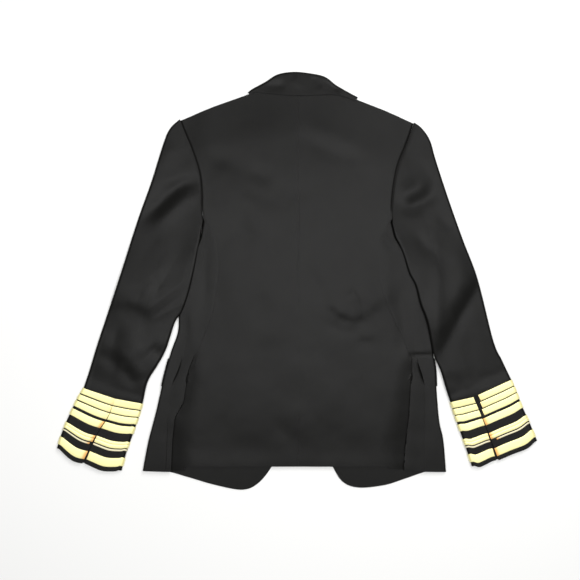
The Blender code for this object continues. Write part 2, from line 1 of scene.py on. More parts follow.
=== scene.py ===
"""Looks of a pilot uniform jacket that lies flat on its front, back up.

Every piece of cloth is a thin wall on the form of its own solid, made from
the same outlines at a finer grid, with pressed seams, creases and a slow
unevenness. Drafting axes, in millimetres: x across with 0 at the centre back,
y up the back with 0 at the back hem, z up from the floor.
"""
import math
import bmesh
import bpy
import numpy as np
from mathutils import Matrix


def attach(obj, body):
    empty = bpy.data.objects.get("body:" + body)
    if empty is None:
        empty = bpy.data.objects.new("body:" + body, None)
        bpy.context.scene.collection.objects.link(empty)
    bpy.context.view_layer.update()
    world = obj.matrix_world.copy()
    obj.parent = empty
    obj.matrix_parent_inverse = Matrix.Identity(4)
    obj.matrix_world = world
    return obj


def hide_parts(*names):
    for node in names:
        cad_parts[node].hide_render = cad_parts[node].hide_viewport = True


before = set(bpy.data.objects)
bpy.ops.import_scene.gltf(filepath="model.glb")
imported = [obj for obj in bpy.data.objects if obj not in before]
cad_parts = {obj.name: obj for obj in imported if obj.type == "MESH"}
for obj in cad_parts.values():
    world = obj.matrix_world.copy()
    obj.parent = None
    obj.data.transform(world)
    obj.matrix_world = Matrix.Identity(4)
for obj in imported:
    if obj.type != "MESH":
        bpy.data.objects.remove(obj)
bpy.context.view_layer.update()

MM = 0.001
LEFT = -1
RIGHT = 1
SIDES = ((LEFT, "left"), (RIGHT, "right"))

# Driving dimensions, millimetres
BODY_WALL = 2.0
SLEEVE_WALL = 1.8
FLAP_WALL = 1.6
LAPEL_WALL = 1.8
COLLAR_WALL = 2.2
BRAID_WALL = 1.0
SEAM_GAP = 0.3
SIDE_HEIGHT = 8.1
CENTRE_HEIGHT = 10.6
VENT_HEIGHT = 8.8
SHOULDER_HEIGHT = 4.4
NECK_HEIGHT = 7.0
SLEEVE_HEIGHT = 7.4
COLLAR_HEIGHT = 9.8
BODY_FOLD_RADIUS = 3.5
SLEEVE_FOLD_RADIUS = 5.0
CUFF_DEPTH = 128.0
CUFF_RAISE = 1.3
BUTTON_RADIUS = 10.0
BUTTON_HEIGHT = 2.6
BUTTON_ROWS = (150.0, 230.0, 310.0)
FLAP_LEVELS = (153.0, 180.0, 205.0)
SLEEVE_CLIMB_TOP = 466.0
SLEEVE_CLIMB_RUN = 34.0
OUTLINE_X = (-461.0, 456.0)
OUTLINE_Y = (-43.4, 750.1)

# Outlines of the body, (x, y)
SIDE_EDGE = {
    LEFT: [(-296, -8), (-285, 49), (-270, 106), (-255, 172), (-242, 218), (-229, 256),
           (-227, 292), (-222, 334), (-209, 382), (-198, 407), (-187, 432), (-184.8, 442), (-180.4, 467)],
    RIGHT: [(281, -10), (276, 49), (268, 87), (263, 144), (261, 182), (257, 209),
            (255, 240), (251, 275), (243, 308), (234, 343), (221, 369), (207, 399), (186.5, 432),
            (183, 441), (177.4, 464)],
}
ARMHOLE = {
    LEFT: [(-180.8, 467), (-184, 490), (-184.5, 520), (-189, 560), (-204, 606), (-212, 625), (-225, 657)],
    RIGHT: [(177.8, 464), (178.5, 495), (182, 533), (190, 573), (203, 606), (211, 627), (219, 652)],
}
SHOULDER = {
    LEFT: [(-225, 657), (-160, 684), (-92, 708)],
    RIGHT: [(219, 652), (165, 676), (101, 701)],
}
NECK = [(-92, 708), (-75, 714), (-50, 716), (0, 714), (40, 714), (75, 710), (101, 701)]
BACK_SEAM = {
    LEFT: [(-218, 0), (-215, 49), (-205, 125), (-199, 180), (-190, 218), (-176, 256), (-163, 296),
           (-155, 340), (-152, 385), (-155, 420), (-164, 450), (-182.6, 483)],
    RIGHT: [(175, 0), (172, 49), (190, 120), (203, 178), (209, 208), (200, 240), (184, 275),
            (168, 312), (157, 350), (153, 390), (156, 422), (165, 450), (178.6, 481)],
}
FRONT_SEAM = {
    LEFT: [(-252, -10), (-249, 60), (-246, 120), (-238, 156), (-222, 196), (-214, 240), (-209, 290),
           (-203, 340), (-192, 385), (-180, 422), (-174, 450), (-181.4, 475)],
    RIGHT: [(241, -10), (240, 60), (241, 130), (234, 170), (223, 204), (220, 250), (218, 290),
            (213, 330), (201, 367), (188, 400), (176, 428), (169.5, 452), (178.2, 472)],
}
FRONT_HEM = {
    LEFT: [(-292, -10), (-251, -10), (-210, -21), (-158, -36), (-107, -45), (-77, -33), (-50, 0),
           (-25, 50), (20, 130)],
    RIGHT: [(277, -10), (246, -10), (203, -24), (165, -36), (116, -41), (86, -31), (67, -4),
            (40, 50), (-20, 130)],
}
ROLL_LINE = {
    LEFT: [(20, 130), (20, 330), (-10, 430), (-50, 570), (-84, 700)],
    RIGHT: [(-20, 130), (-20, 330), (10, 440), (62, 570), (98, 692)],
}
LAPEL_EDGE = {
    LEFT: [(14, 350), (-25, 400), (-70, 480), (-110, 560), (-130, 612)],
    RIGHT: [(2, 412), (35, 450), (80, 510), (118, 570), (138, 612)],
}
LAPEL_ROLL = {
    LEFT: [(18, 356), (-12, 440), (-46, 560), (-68, 640)],
    RIGHT: [(4, 418), (28, 480), (60, 570), (82, 640)],
}
COLLAR_FOLD = [(-96, 711), (-87, 718), (-63, 731), (-40, 745), (-12, 750), (18, 748), (50, 741),
               (72, 725), (96, 711), (113, 702)]
COLLAR_FALL = [(-91, 707), (-80, 711), (-62, 709), (-43, 707), (-15, 705), (15, 705), (45, 706),
               (70, 706), (92, 701), (109, 694)]
COLLAR_UNDER = [(-134, 630), (-104, 650), (-72, 676), (-42, 694), (-14, 700), (16, 700), (46, 694),
                (78, 674), (112, 650), (144, 628)]

# Outlines of the sleeves, (x, y), from the armhole to the cuff braid and then to the cuff end
SLEEVE_OUTER = {
    LEFT: [(-226, 660), (-243, 644), (-255, 619), (-279, 543), (-306, 467), (-342, 353), (-380, 239),
           (-397, 184), (-408, 150)],
    RIGHT: [(221, 654), (236, 642), (251, 619), (262, 581), (287, 505), (314, 429), (342, 353),
            (371, 239), (388, 201), (405, 165)],
}
CUFF_OUTER = {
    LEFT: [(-408, 150), (-421, 128), (-440, 88), (-450, 63), (-459, 35)],
    RIGHT: [(405, 165), (415, 142), (425, 116), (438, 88), (447, 66), (454, 49)],
}
SLEEVE_INNER = {
    LEFT: [(-181.2, 467), (-188, 429), (-196, 382), (-207, 334), (-220, 296), (-234, 274), (-251, 223),
           (-267, 193), (-286, 161), (-296, 119)],
    RIGHT: [(178.2, 464), (184, 439), (192, 422), (201, 397), (210, 367), (222, 343), (231, 308),
            (243, 275), (256, 215), (270, 182), (281, 146), (289, 122)],
}
CUFF_INNER = {
    LEFT: [(-296, 119), (-304, 92), (-315, 60), (-327, 26), (-336, -8)],
    RIGHT: [(289, 122), (298, 94), (308, 65), (319, 34), (330, 0)],
}
HIND_SEAM = {
    LEFT: [(-204, 606), (-222, 560), (-238, 500), (-258, 420), (-280, 340), (-306, 250), (-332, 170),
           (-348, 129)],
    RIGHT: [(203, 606), (216, 555), (233, 500), (254, 425), (277, 350), (303, 250), (322, 175),
            (332, 132)],
}
VENT_LINE = {
    LEFT: [(-348, 129), (-361, 95), (-382, 62), (-408, 6)],
    RIGHT: [(332, 132), (345, 103), (358, 70), (378, 12)],
}
FORE_SEAM = {
    LEFT: [(-187, 548), (-192, 500), (-204, 440), (-226, 353), (-262, 245), (-292, 180), (-313, 124)],
    RIGHT: [(185, 548), (190, 500), (204, 440), (234, 353), (266, 245), (288, 180), (306, 128)],
}
CUFF_FORE = {
    LEFT: [(-313, 124), (-333, 64), (-353, -7)],
    RIGHT: [(306, 128), (328, 66), (350, 2)],
}
CUFF_END = {
    LEFT: {"outer": [(-436, 16), (-424, 9)], "inner": [(-395, 1), (-373, -8), (-350, -9)],
           "under": [(-440, 22), (-415, 9), (-385, 0)]},
    RIGHT: {"outer": [(434, 34), (406, 23)], "inner": [(368, 10), (354, 3), (344, -1)],
            "under": [(436, 38), (410, 27), (380, 14)]},
}
# Soft creases: start, end, half width, height (minus is a trough)
BACK_CREASES = [
    ((10, 620), (98, 560), 17, -1.3),
    ((60, 640), (190, 585), 22, 1.4),
    ((140, 668), (160, 640), 14, -1.2),
    ((64, 293), (88, 280), 10, -2.0),
    ((88, 280), (120, 280), 10, -2.2),
    ((120, 280), (145, 291), 10, -1.8),
    ((70, 320), (135, 318), 16, 1.3),
    ((70, 255), (140, 250), 18, 1.2),
    ((116, 238), (140, 236), 12, -1.0),
    ((-140, 560), (-55, 524), 14, 1.3),
    ((-165, 520), (-105, 480), 14, -1.1),
    ((-120, 500), (-95, 470), 14, -1.0),
    ((5, 380), (45, 330), 13, -1.1),
    ((-60, 610), (20, 600), 20, -0.8),
    ((-35, 76), (0, 42), 16, -0.9),
]
SIDE_CREASES = {
    LEFT: [((-180, 430), (-178, 300), 15, -1.5), ((-205, 285), (-195, 225), 14, 0.8)],
    RIGHT: [((192, 330), (200, 235), 17, -1.6), ((168, 320), (172, 400), 12, 0.9)],
}
SLEEVE_CREASES = {
    LEFT: [((-198, 540), (-255, 524), 15, -1.5), ((-255, 524), (-298, 464), 15, -1.3),
           ((-350, 321), (-302, 323), 13, -1.9), ((-302, 323), (-287, 258), 14, -1.4),
           ((-330, 350), (-270, 350), 18, 0.9), ((-376, 207), (-345, 196), 16, -1.3),
           ((-330, 183), (-312, 160), 14, -1.1), ((-268, 350), (-264, 300), 12, -1.0),
           ((-300, 420), (-330, 300), 16, 0.7), ((-350, 260), (-372, 185), 15, 0.8)],
    RIGHT: [((201, 496), (258, 534), 17, -1.6), ((226, 444), (249, 400), 16, -1.4),
            ((262, 418), (262, 236), 10, 1.4), ((340, 359), (300, 290), 19, -1.8),
            ((300, 290), (262, 208), 18, -2.0), ((330, 275), (365, 195), 20, 0.9),
            ((270, 475), (290, 455), 16, -0.9), ((335, 172), (391, 178), 15, -1.0)],
}

# Braid rows on a cuff: distance of the lower edge from the cuff end, width
BRAID_ROWS = [(116.0, 12.0), (102.4, 11.6), (88.5, 12.0), (70.0, 13.5), (42.2, 12.0), (37.0, 3.0), (8.5, 15.5)]

# Finer folds, each along a curved path: points, half width, height (minus is a trough), lip beside it
BACK_FOLDS = [
    ([(-176, 560), (-105, 505), (-20, 436)], 28, 1.2, 0.3),
    ([(-96, 568), (-70, 553), (-44, 548)], 13, -0.6, 0.4),
    ([(-126, 466), (-103, 445), (-86, 414)], 13, -0.6, 0.4),
    ([(-10, 640), (50, 606), (100, 586), (140, 580)], 16, -1.1, 0.5),
    ([(110, 612), (140, 586), (172, 560)], 24, 0.35, 0.2),
    ([(104, 356), (136, 325), (168, 300)], 24, 1.2, 0.3),
    ([(42, 294), (58, 270), (90, 256), (120, 262), (144, 284)], 13, -0.8, 0.6),
    ([(70, 254), (104, 250), (136, 262)], 18, 0.25, 0.1),
    ([(104, 246), (126, 236), (150, 242)], 10, -0.3, 0.5),
    ([(-148, 450), (-156, 360), (-148, 270)], 15, -0.6, 0.3),
    ([(124, 672), (146, 650), (170, 630)], 15, -0.6, 0.4),
    ([(-42, 86), (-20, 62), (6, 40)], 17, -0.3, 0.4),
    ([(0, 402), (26, 356), (52, 316)], 14, -0.5, 0.4),
    ([(-30, 250), (-62, 205), (-80, 150)], 24, -0.4, 0.5),
    ([(30, 190), (60, 130), (70, 70)], 26, 0.4, 0.4),
    ([(-130, 190), (-118, 120), (-122, 60)], 24, 0.4, 0.4),
    ([(-192, 604), (-150, 585), (-100, 590)], 17, -0.5, 0.4),
    ([(150, 490), (128, 440), (120, 386)], 20, -0.5, 0.4),
    ([(-100, 340), (-70, 300), (-64, 250)], 20, -0.4, 0.4),
]
SIDE_FOLDS = {
    LEFT: [([(-174, 436), (-180, 370), (-176, 290)], 12, -0.7, 0.4),
           ([(-212, 300), (-200, 262), (-203, 220)], 14, 0.5, 0.3)],
    RIGHT: [([(164, 448), (172, 430), (184, 410)], 11, -1.5, 0.3),
            ([(188, 345), (200, 290), (203, 230)], 13, -0.9, 0.4),
            ([(170, 312), (166, 362), (172, 408)], 14, 0.2, 0.2)],
}
SLEEVE_FOLDS = {
    LEFT: [([(-180, 546), (-226, 532), (-262, 500), (-306, 460)], 14, -2.0, 0.7),
           ([(-280, 366), (-270, 350), (-262, 334)], 9, -0.45, 0.0),
           ([(-388, 216), (-362, 204), (-334, 184)], 13, -0.8, 0.5),
           ([(-336, 192), (-322, 172), (-304, 152)], 12, -0.7, 0.5),
           ([(-286, 228), (-268, 217), (-252, 212)], 12, -0.7, 0.5),
           ([(-236, 620), (-250, 590), (-270, 560)], 16, 0.5, 0.4),
           ([(-240, 474), (-250, 430), (-272, 396)], 17, 0.5, 0.4),
           ([(-340, 286), (-352, 240), (-366, 190)], 17, -1.4, 0.3),
           ([(-298, 240), (-318, 210), (-328, 192)], 14, 0.5, 0.3)],
    RIGHT: [([(192, 484), (226, 498), (272, 528)], 15, -2.0, 0.7),
            ([(224, 450), (236, 426), (254, 396)], 12, -0.8, 0.5),
            ([(260, 424), (264, 330), (258, 222)], 13, 0.8, 0.3),
            ([(352, 384), (328, 344), (298, 292), (268, 228), (250, 186)], 16, -1.2, 0.2),
            ([(260, 476), (278, 466), (298, 446)], 12, -0.6, 0.4),
            ([(326, 160), (360, 167), (398, 168)], 10, -0.35, 0.3),
            ([(244, 604), (256, 570), (272, 544)], 16, 0.5, 0.4),
            ([(286, 434), (300, 396), (308, 344)], 18, 0.5, 0.3),
            ([(272, 170), (296, 160), (322, 148)], 14, -0.5, 0.4)],
}
# Folds of the hidden underside, of the same kind
FRONT_FOLDS = {
    LEFT: [([(-190, 420), (-140, 380), (-84, 372)], 18, 0.9, 0.4),
           ([(-196, 300), (-160, 276), (-110, 282)], 16, 0.7, 0.4),
           ([(-60, 120), (-74, 70), (-70, 30)], 18, 0.8, 0.4)],
    RIGHT: [([(186, 408), (138, 392), (96, 398)], 18, 0.9, 0.4),
            ([(210, 296), (170, 262), (128, 264)], 16, 0.8, 0.4),
            ([(96, 150), (104, 96), (98, 40)], 18, 0.7, 0.4)],
}
COLLAR_FOLDS = [([(-70, 726), (-48, 722), (-20, 726)], 9, -0.7, 0.5), ([(48, 738), (62, 722), (84, 712)], 7, -1.0, 0.6),
                ([(24, 742), (36, 728), (40, 714)], 8, -0.5, 0.5), ([(-12, 742), (0, 730), (-4, 716)], 12, 0.4, 0.3)]
# Dips of the cloth beside each pocket flap: its back edge, its top edge
POCKET_DIPS = {
    LEFT: [([(-224, 206), (-228, 194), (-232, 182), (-238, 168), (-246, 158), (-252, 154)], 3.2, -2.6, 0.0)],
    RIGHT: [([(229, 206), (231, 196), (233, 186), (237, 172), (243, 160), (249, 154)], 3.2, -3.0, 0.0),
            ([(196, 211), (216, 210), (240, 211), (266, 212), (284, 212)], 3.5, -2.0, 0.0)],
}
# Steps of the cloth: the side to the right of each path lies higher: points, half width, height
SLEEVE_STEPS = {
    LEFT: [([(-400, 298), (-350, 308), (-316, 306), (-288, 290), (-272, 262)], 15, 6.8),
           ([(-420, 206), (-374, 202), (-334, 184), (-290, 146)], 24, 4.2)],
    RIGHT: [([(372, 410), (336, 346), (302, 288), (272, 228), (244, 174)], 11, -7.2),
            ([(192, 484), (224, 500), (266, 524)], 9, 1.3)],
}
BACK_STEPS = [([(46, 336), (60, 304), (84, 283), (112, 277), (136, 283), (156, 304)], 6, 1.9)]
# Slow unevenness of worn cloth: cell, height, first number of its random table
DRIFT = [(64.0, 0.3, 5), (37.0, 0.28, 11), (21.0, 0.13, 23), (12.0, 0.045, 31)]
# Side vents, from the hem up: levels, how wide the dark hollow is, how far its two sides swell
VENT_LEVELS = [0, 49, 90, 120, 182, 215]
VENT_WIDTH = {LEFT: [24, 25, 26, 14, 10, 5], RIGHT: [26, 33, 28, 22, 12, 5]}
VENT_SWELL = [0.6, 0.7, 0.7, 0.6, 0.4, 0]
VENT_DEPTHS = [6.2, 6.0, 4.8, 4.5, 2.6, 0]
VENT_SLOPE = 20.0
VENT_LAP = 2.0
HEM_LIFT = 0.9
# How much thinner a sleeve lies where it rests on the body
SLEEVE_PRESSED = 3.2
FOLD_GAIN = 1.35
SEAM_PRESS = 0.35
SEAM_PRESS_WIDTH = 2.2
SEAM_RIDGE = 0.06
SEAM_RIDGE_AT = 5.0
BRAID_CROWN = 0.35
BRAID_GROOVE = 0.5
GROOVED_ROW = 5
BUTTON_DOME = 0.55
FINE = 5
SEAM_SHOWN = 0.01
SIDE_SEAM_PRESS = {LEFT: 0.0, RIGHT: 0.15}
# Braid rows that get the full painted shade at their ends; the others get a quarter of it
PAINTED_END_SHADE_ROWS = (4, 5, 6, 7)
CUFF_SPLIT = 2.4
# Columns by which a braid stops short of the cuff vent on the top sleeve
BRAID_SKIPS = {LEFT: (0, 0, 0, 0, 0, 2, 0), RIGHT: (4, 3, 2, 0, 0, 4, 0)}


# Finishes, linear colours
CLOTH_DARK = (0.0046, 0.0045, 0.0041, 1)
CLOTH_LIGHT = (0.0066, 0.0065, 0.0060, 1)
GOLD_DEEP = (0.70, 0.52, 0.14, 1)
GOLD_PALE = (0.95, 0.88, 0.42, 1)
# Orange tone of painted shade at the braid ends, where they turn down at the cuff vent
GOLD_PAINTED_END_SHADE = (0.70, 0.34, 0.08, 1)
PALE_THREAD = (0.74, 0.68, 0.46, 1)
BRASS = (0.78, 0.58, 0.24, 1)
TWILL_PERIOD = 0.0011
BRAID_RIB = 0.0015
CAMERA_HEIGHT = 2.208


def node(tree, kind, **values):
    made = tree.nodes.new(kind)
    for name, value in values.items():
        setattr(made, name, value)
    return made


def new_material(name):
    made = bpy.data.materials.new(name)
    made.use_nodes = True
    return made, made.node_tree, made.node_tree.nodes["Principled BSDF"]


def wave_scale(period):
    """Scale of a Wave texture whose bands repeat at this distance."""
    return 2 * math.pi / (20 * period)


def uniform_cloth(name, dark, light):
    """Near-black wool twill: fine diagonal ribs, a short nap and slow unevenness."""
    made, tree, shader = new_material(name)
    link = tree.links.new
    place = node(tree, "ShaderNodeTexCoord")
    turn = node(tree, "ShaderNodeMapping")
    turn.inputs["Rotation"].default_value = (0, 0, math.radians(62))
    link(place.outputs["UV"], turn.inputs["Vector"])
    twill = node(tree, "ShaderNodeTexWave", wave_type="BANDS", bands_direction="X")
    twill.inputs["Scale"].default_value = wave_scale(TWILL_PERIOD)
    twill.inputs["Distortion"].default_value = 0.6
    twill.inputs["Detail"].default_value = 1.0
    link(turn.outputs["Vector"], twill.inputs["Vector"])
    nap = node(tree, "ShaderNodeTexNoise")
    nap.inputs["Scale"].default_value = 1400.0
    nap.inputs["Detail"].default_value = 3.0
    link(place.outputs["UV"], nap.inputs["Vector"])
    cloud = node(tree, "ShaderNodeTexNoise")
    cloud.inputs["Scale"].default_value = 14.0
    cloud.inputs["Detail"].default_value = 4.0
    cloud.inputs["Roughness"].default_value = 0.6
    link(place.outputs["Object"], cloud.inputs["Vector"])
    mix_amount = node(tree, "ShaderNodeMath", operation="MULTIPLY_ADD")
    mix_amount.inputs[1].default_value = 0.55
    link(nap.outputs["Fac"], mix_amount.inputs[0])
    link(cloud.outputs["Fac"], mix_amount.inputs[2])
    ramp = node(tree, "ShaderNodeValToRGB")
    ramp.color_ramp.elements[0].position = 0.35
    ramp.color_ramp.elements[0].color = dark
    ramp.color_ramp.elements[1].position = 1.0
    ramp.color_ramp.elements[1].color = light
    link(mix_amount.outputs[0], ramp.inputs["Fac"])
    link(ramp.outputs["Color"], shader.inputs["Base Color"])
    nap_bump = node(tree, "ShaderNodeBump")
    nap_bump.inputs["Strength"].default_value = 0.2
    nap_bump.inputs["Distance"].default_value = 0.0003
    link(nap.outputs["Fac"], nap_bump.inputs["Height"])
    twill_bump = node(tree, "ShaderNodeBump")
    twill_bump.inputs["Strength"].default_value = 0.3
    twill_bump.inputs["Distance"].default_value = 0.00012
    link(twill.outputs["Fac"], twill_bump.inputs["Height"])
    link(nap_bump.outputs["Normal"], twill_bump.inputs["Normal"])
    link(twill_bump.outputs["Normal"], shader.inputs["Normal"])
    shader.inputs["Roughness"].default_value = 0.38
    shader.inputs["Specular IOR Level"].default_value = 0.085
    return made


def braid_material(name, deep, pale, metallic):
    """Woven gold braid: ribs across the band in two slants, with painted shade in an orange tone at the turned-in ends.
    """
    made, tree, shader = new_material(name)
    link = tree.links.new
    place = node(tree, "ShaderNodeTexCoord")
    heights = []
    for slant in (24, -24):
        turn = node(tree, "ShaderNodeMapping")
        turn.inputs["Rotation"].default_value = (0, 0, math.radians(slant))
        link(place.outputs["UV"], turn.inputs["Vector"])
        rib = node(tree, "ShaderNodeTexWave", wave_type="BANDS", bands_direction="X")
        rib.inputs["Scale"].default_value = wave_scale(BRAID_RIB)
        rib.inputs["Distortion"].default_value = 0.4
        link(turn.outputs["Vector"], rib.inputs["Vector"])
        heights.append(rib)
    weave = node(tree, "ShaderNodeMath", operation="MULTIPLY")
    link(heights[0].outputs["Fac"], weave.inputs[0])
    link(heights[1].outputs["Fac"], weave.inputs[1])
    thread = node(tree, "ShaderNodeTexNoise")
    thread.inputs["Scale"].default_value = 900.0
    link(place.outputs["UV"], thread.inputs["Vector"])
    ramp = node(tree, "ShaderNodeValToRGB")
    ramp.color_ramp.elements[0].position = 0.0
    ramp.color_ramp.elements[0].color = deep
    ramp.color_ramp.elements[1].position = 0.45
    ramp.color_ramp.elements[1].color = pale
    tone = node(tree, "ShaderNodeMath", operation="MULTIPLY_ADD")
    tone.inputs[1].default_value = 0.5
    link(weave.outputs[0], tone.inputs[0])
    link(thread.outputs["Fac"], tone.inputs[2])
    link(tone.outputs[0], ramp.inputs["Fac"])
    # Painted shade: the braid colour mixes towards an orange tone at the ends
    ends = node(tree, "ShaderNodeAttribute", attribute_name="painted_end_shade")
    mix = node(tree, "ShaderNodeMix", data_type="RGBA")
    link(ends.outputs["Fac"], mix.inputs["Factor"])
    link(ramp.outputs["Color"], mix.inputs["A"])
    mix.inputs["B"].default_value = GOLD_PAINTED_END_SHADE
    link(mix.outputs["Result"], shader.inputs["Base Color"])
    bump = node(tree, "ShaderNodeBump")
    bump.inputs["Strength"].default_value = 0.5
    bump.inputs["Distance"].default_value = 0.00025
    link(weave.outputs[0], bump.inputs["Height"])
    link(bump.outputs["Normal"], shader.inputs["Normal"])
    shader.inputs["Roughness"].default_value = 0.45
    shader.inputs["Metallic"].default_value = metallic
    return made


def brass_material(name):
    """Cast brass with a slightly uneven polish."""
    made, tree, shader = new_material(name)
    place = node(tree, "ShaderNodeTexCoord")
    haze = node(tree, "ShaderNodeTexNoise")
    haze.inputs["Scale"].default_value = 260.0
    tree.links.new(place.outputs["Object"], haze.inputs["Vector"])
    spread = node(tree, "ShaderNodeMapRange")
    spread.inputs["To Min"].default_value = 0.22
    spread.inputs["To Max"].default_value = 0.42
    tree.links.new(haze.outputs["Fac"], spread.inputs["Value"])
    tree.links.new(spread.outputs["Result"], shader.inputs["Roughness"])
    shader.inputs["Base Color"].default_value = BRASS
    shader.inputs["Metallic"].default_value = 1.0
    return made


def line(points, shares):
    """Points at these shares of the length of a smooth curve through the given points."""
    knots = np.array(points, float)
    padded = np.vstack([2 * knots[0] - knots[1], knots, 2 * knots[-1] - knots[-2]])
    t = np.linspace(0, 1, 31)[:, None]
    runs = []
    for a, b, c, d in zip(padded, padded[1:], padded[2:], padded[3:]):
        runs.append(0.5 * (2 * b + (c - a) * t + (2 * a - 5 * b + 4 * c - d) * t ** 2
                           + (3 * b - a - 3 * c + d) * t ** 3))
    fine = np.vstack(runs)
    length = np.concatenate([[0], np.cumsum(np.hypot(*np.diff(fine, axis=0).T))])
    where = np.asarray(shares) * length[-1]
    return np.column_stack([np.interp(where, length, fine[:, 0]), np.interp(where, length, fine[:, 1])])


def steps(count):
    return np.linspace(0, 1, count + 1)


def side_shares(side):
    """Rows of the side edge from hem to underarm, with rows on the pocket flap's edges."""
    probe = line(SIDE_EDGE[side], steps(200))
    low, middle, high = np.interp(FLAP_LEVELS, probe[:, 1], steps(200))
    below = steps(7)[:-1] * low
    above = high + steps(11)[1:] * (1 - high)
    return np.concatenate([below, [low, middle, high], above])


def smooth(value):
    """Soft step from 0 to 1 as the value goes from 0 to 1."""
    value = np.clip(value, 0, 1)
    return value * value * (3 - 2 * value)


def shifted(points, dx):
    return points + np.array([dx, 0.0])


def height_of_crossing(points, x):
    """The y of an outline at x, for outlines that run across."""
    table = np.array(sorted(points), float)
    return np.interp(x, table[:, 0], table[:, 1])


def side_edge_x(side, y):
    table = np.array(SIDE_EDGE[side], float)
    return np.interp(y, table[:, 1], table[:, 0])


def creased(x, y, creases):
    """Sum of soft troughs and ridges, each along its own straight run."""
    total = np.zeros_like(x)
    for start, end, half_width, height in creases:
        start, end = np.array(start, float), np.array(end, float)
        run = end - start
        share = np.clip(((x - start[0]) * run[0] + (y - start[1]) * run[1]) / (run @ run), 0, 1)
        away = np.hypot(x - start[0] - share * run[0], y - start[1] - share * run[1])
        total += height * np.exp(-(away / half_width) ** 2)
    return total


def side_distance(x, y):
    """How far a point lies inside the body's side edge or armhole."""
    edge = np.where(x < 0, -outer_limit(LEFT, y), outer_limit(RIGHT, y))
    return edge - np.abs(x)


def outer_limit(side, y):
    table = np.array(SIDE_EDGE[side] + ARMHOLE[side][1:], float)
    return np.interp(y, table[:, 1], table[:, 0])


def front_lift(side, x, y):
    """How high the front's outer face lies: it rides over buttons, lapels and flaps."""
    out = x * side
    reach = np.interp(y, [60, 100, 340, 560, 720], [35, 38, 48, 146, 150])
    if side == LEFT:
        amount = np.interp(y, [60, 100, 420, 470], [0, 2.9, 2.9, 2.5])
    else:
        amount = np.interp(y, [40, 80, 420, 480], [0, 5.4, 5.4, 2.5])
    centre = amount * (1 - smooth((out - reach) / 36))
    near_shoulder = smooth((out - 150) / 26) * smooth((y - 630) / 40)
    centre = centre * (1 - near_shoulder)
    flap = smooth((y - 64) / 22) * (1 - smooth((y - 228) / 22)) * smooth((out - 72) / 26)
    return np.maximum(centre, (FLAP_WALL + SEAM_GAP) * flap)


def sleeve_lift(side, x, y):
    """How high the sleeve rides where its inner edge lies on the body's side."""
    inside = (side_edge_x(side, y) - x) * side
    climb = smooth((SLEEVE_CLIMB_TOP - y) / SLEEVE_CLIMB_RUN)
    return (SIDE_HEIGHT + 0.45) * climb * smooth((inside + 30) / 27)


def span(rail_a, rail_b, shares, first=None, last=None, first_reach=None, last_reach=None):
    """Rows of points from rail a to rail b; the end rows follow their own curves."""
    u = np.asarray(shares)[None, :, None]
    plain = rail_a[:, None] * (1 - u) + rail_b[:, None] * u
    v = steps(len(rail_a) - 1)
    grid = plain.copy()
    if first is not None:
        weight = (1 - v) ** 2 if first_reach is None else first_reach
        grid += weight[:, None, None] * (first - plain[0])[None]
    if last is not None:
        weight = v ** 2 if last_reach is None else last_reach
        grid += weight[:, None, None] * (last - plain[-1])[None]
    return grid


def inward(edge, side_x):
    """Unit normals of an edge that runs up or down, towards side_x."""
    along = np.gradient(edge, axis=0)
    normal = np.column_stack([along[:, 1], -along[:, 0]])
    normal /= np.hypot(normal[:, 0], normal[:, 1])[:, None]
    return normal * np.where(normal[:, 0] * side_x < 0, -1, 1)[:, None]


def stack(xy, z):
    return np.dstack([xy[..., 0], xy[..., 1], z])


def wrapped(upper, lower, edge, centre, top, low, inset, turns=6):
    """Cloth that lies above, turns round an edge and runs back below.

    upper ends and lower begins on the line of centres. top and low give the
    outer faces; inset is the depth under them, or minus above them.
    """
    radius = (centre - edge)[:, None]
    high = top(centre[:, 0], centre[:, 1])
    floor = low(centre[:, 0], centre[:, 1])
    half = (high - floor)[:, None] / 2
    middle = (high + floor)[:, None] / 2
    reach = np.hypot(radius[..., 0], radius[..., 1])
    angle = np.linspace(0, np.pi, 2 * turns + 1)[None, 1:-1]
    out = (1 - inset / reach)[..., None] * radius
    turn_xy = centre[:, None] - out * np.sin(angle)[..., None]
    turn = stack(turn_xy, middle + (half - inset) * np.cos(angle))
    above = stack(upper, top(upper[..., 0], upper[..., 1]) - inset)
    below = stack(lower, low(lower[..., 0], lower[..., 1]) + inset)
    return np.concatenate([above, turn, below], axis=1)


def refined(rows, times=FINE):
    """The same rows with others between them."""
    fine = np.linspace(0, len(rows) - 1, (len(rows) - 1) * times + 1)
    return np.interp(fine, np.arange(len(rows)), rows)


def gathered(count, pull=0.8):
    """Shares from 0 to 1 that lie closer together at both ends."""
    even = steps(count)
    return even - pull * np.sin(2 * np.pi * even) / (2 * np.pi)


def beside_path(x, y, path):
    """Share along a curved path and signed distance from it, plus to its left."""
    knots = line(path, steps(8))
    near = np.full_like(x, np.inf)
    share = np.zeros_like(x)
    side_of = np.ones_like(x)
    for number, (start, end) in enumerate(zip(knots, knots[1:])):
        run = end - start
        along = np.clip(((x - start[0]) * run[0] + (y - start[1]) * run[1]) / (run @ run), 0, 1)
        away_x = x - start[0] - along * run[0]
        away_y = y - start[1] - along * run[1]
        away = np.hypot(away_x, away_y)
        closer = away < near
        near = np.where(closer, away, near)
        share = np.where(closer, (number + along) / 8, share)
        side_of = np.where(closer, np.sign(run[0] * away_y - run[1] * away_x), side_of)
    return share, near * side_of


def folded(x, y, folds):
    """Sum of soft folds that follow curved paths, fade at both ends and have a lip on one side."""
    total = np.zeros_like(x)
    for path, half_width, height, lip in folds:
        share, distance = beside_path(x, y, path)
        taper = smooth(share / 0.35) * smooth((1 - share) / 0.35)
        off = distance / half_width
        total += height * taper * (np.exp(-off ** 2) - lip * np.exp(-((off - 1.9) / 1.1) ** 2))
    return total


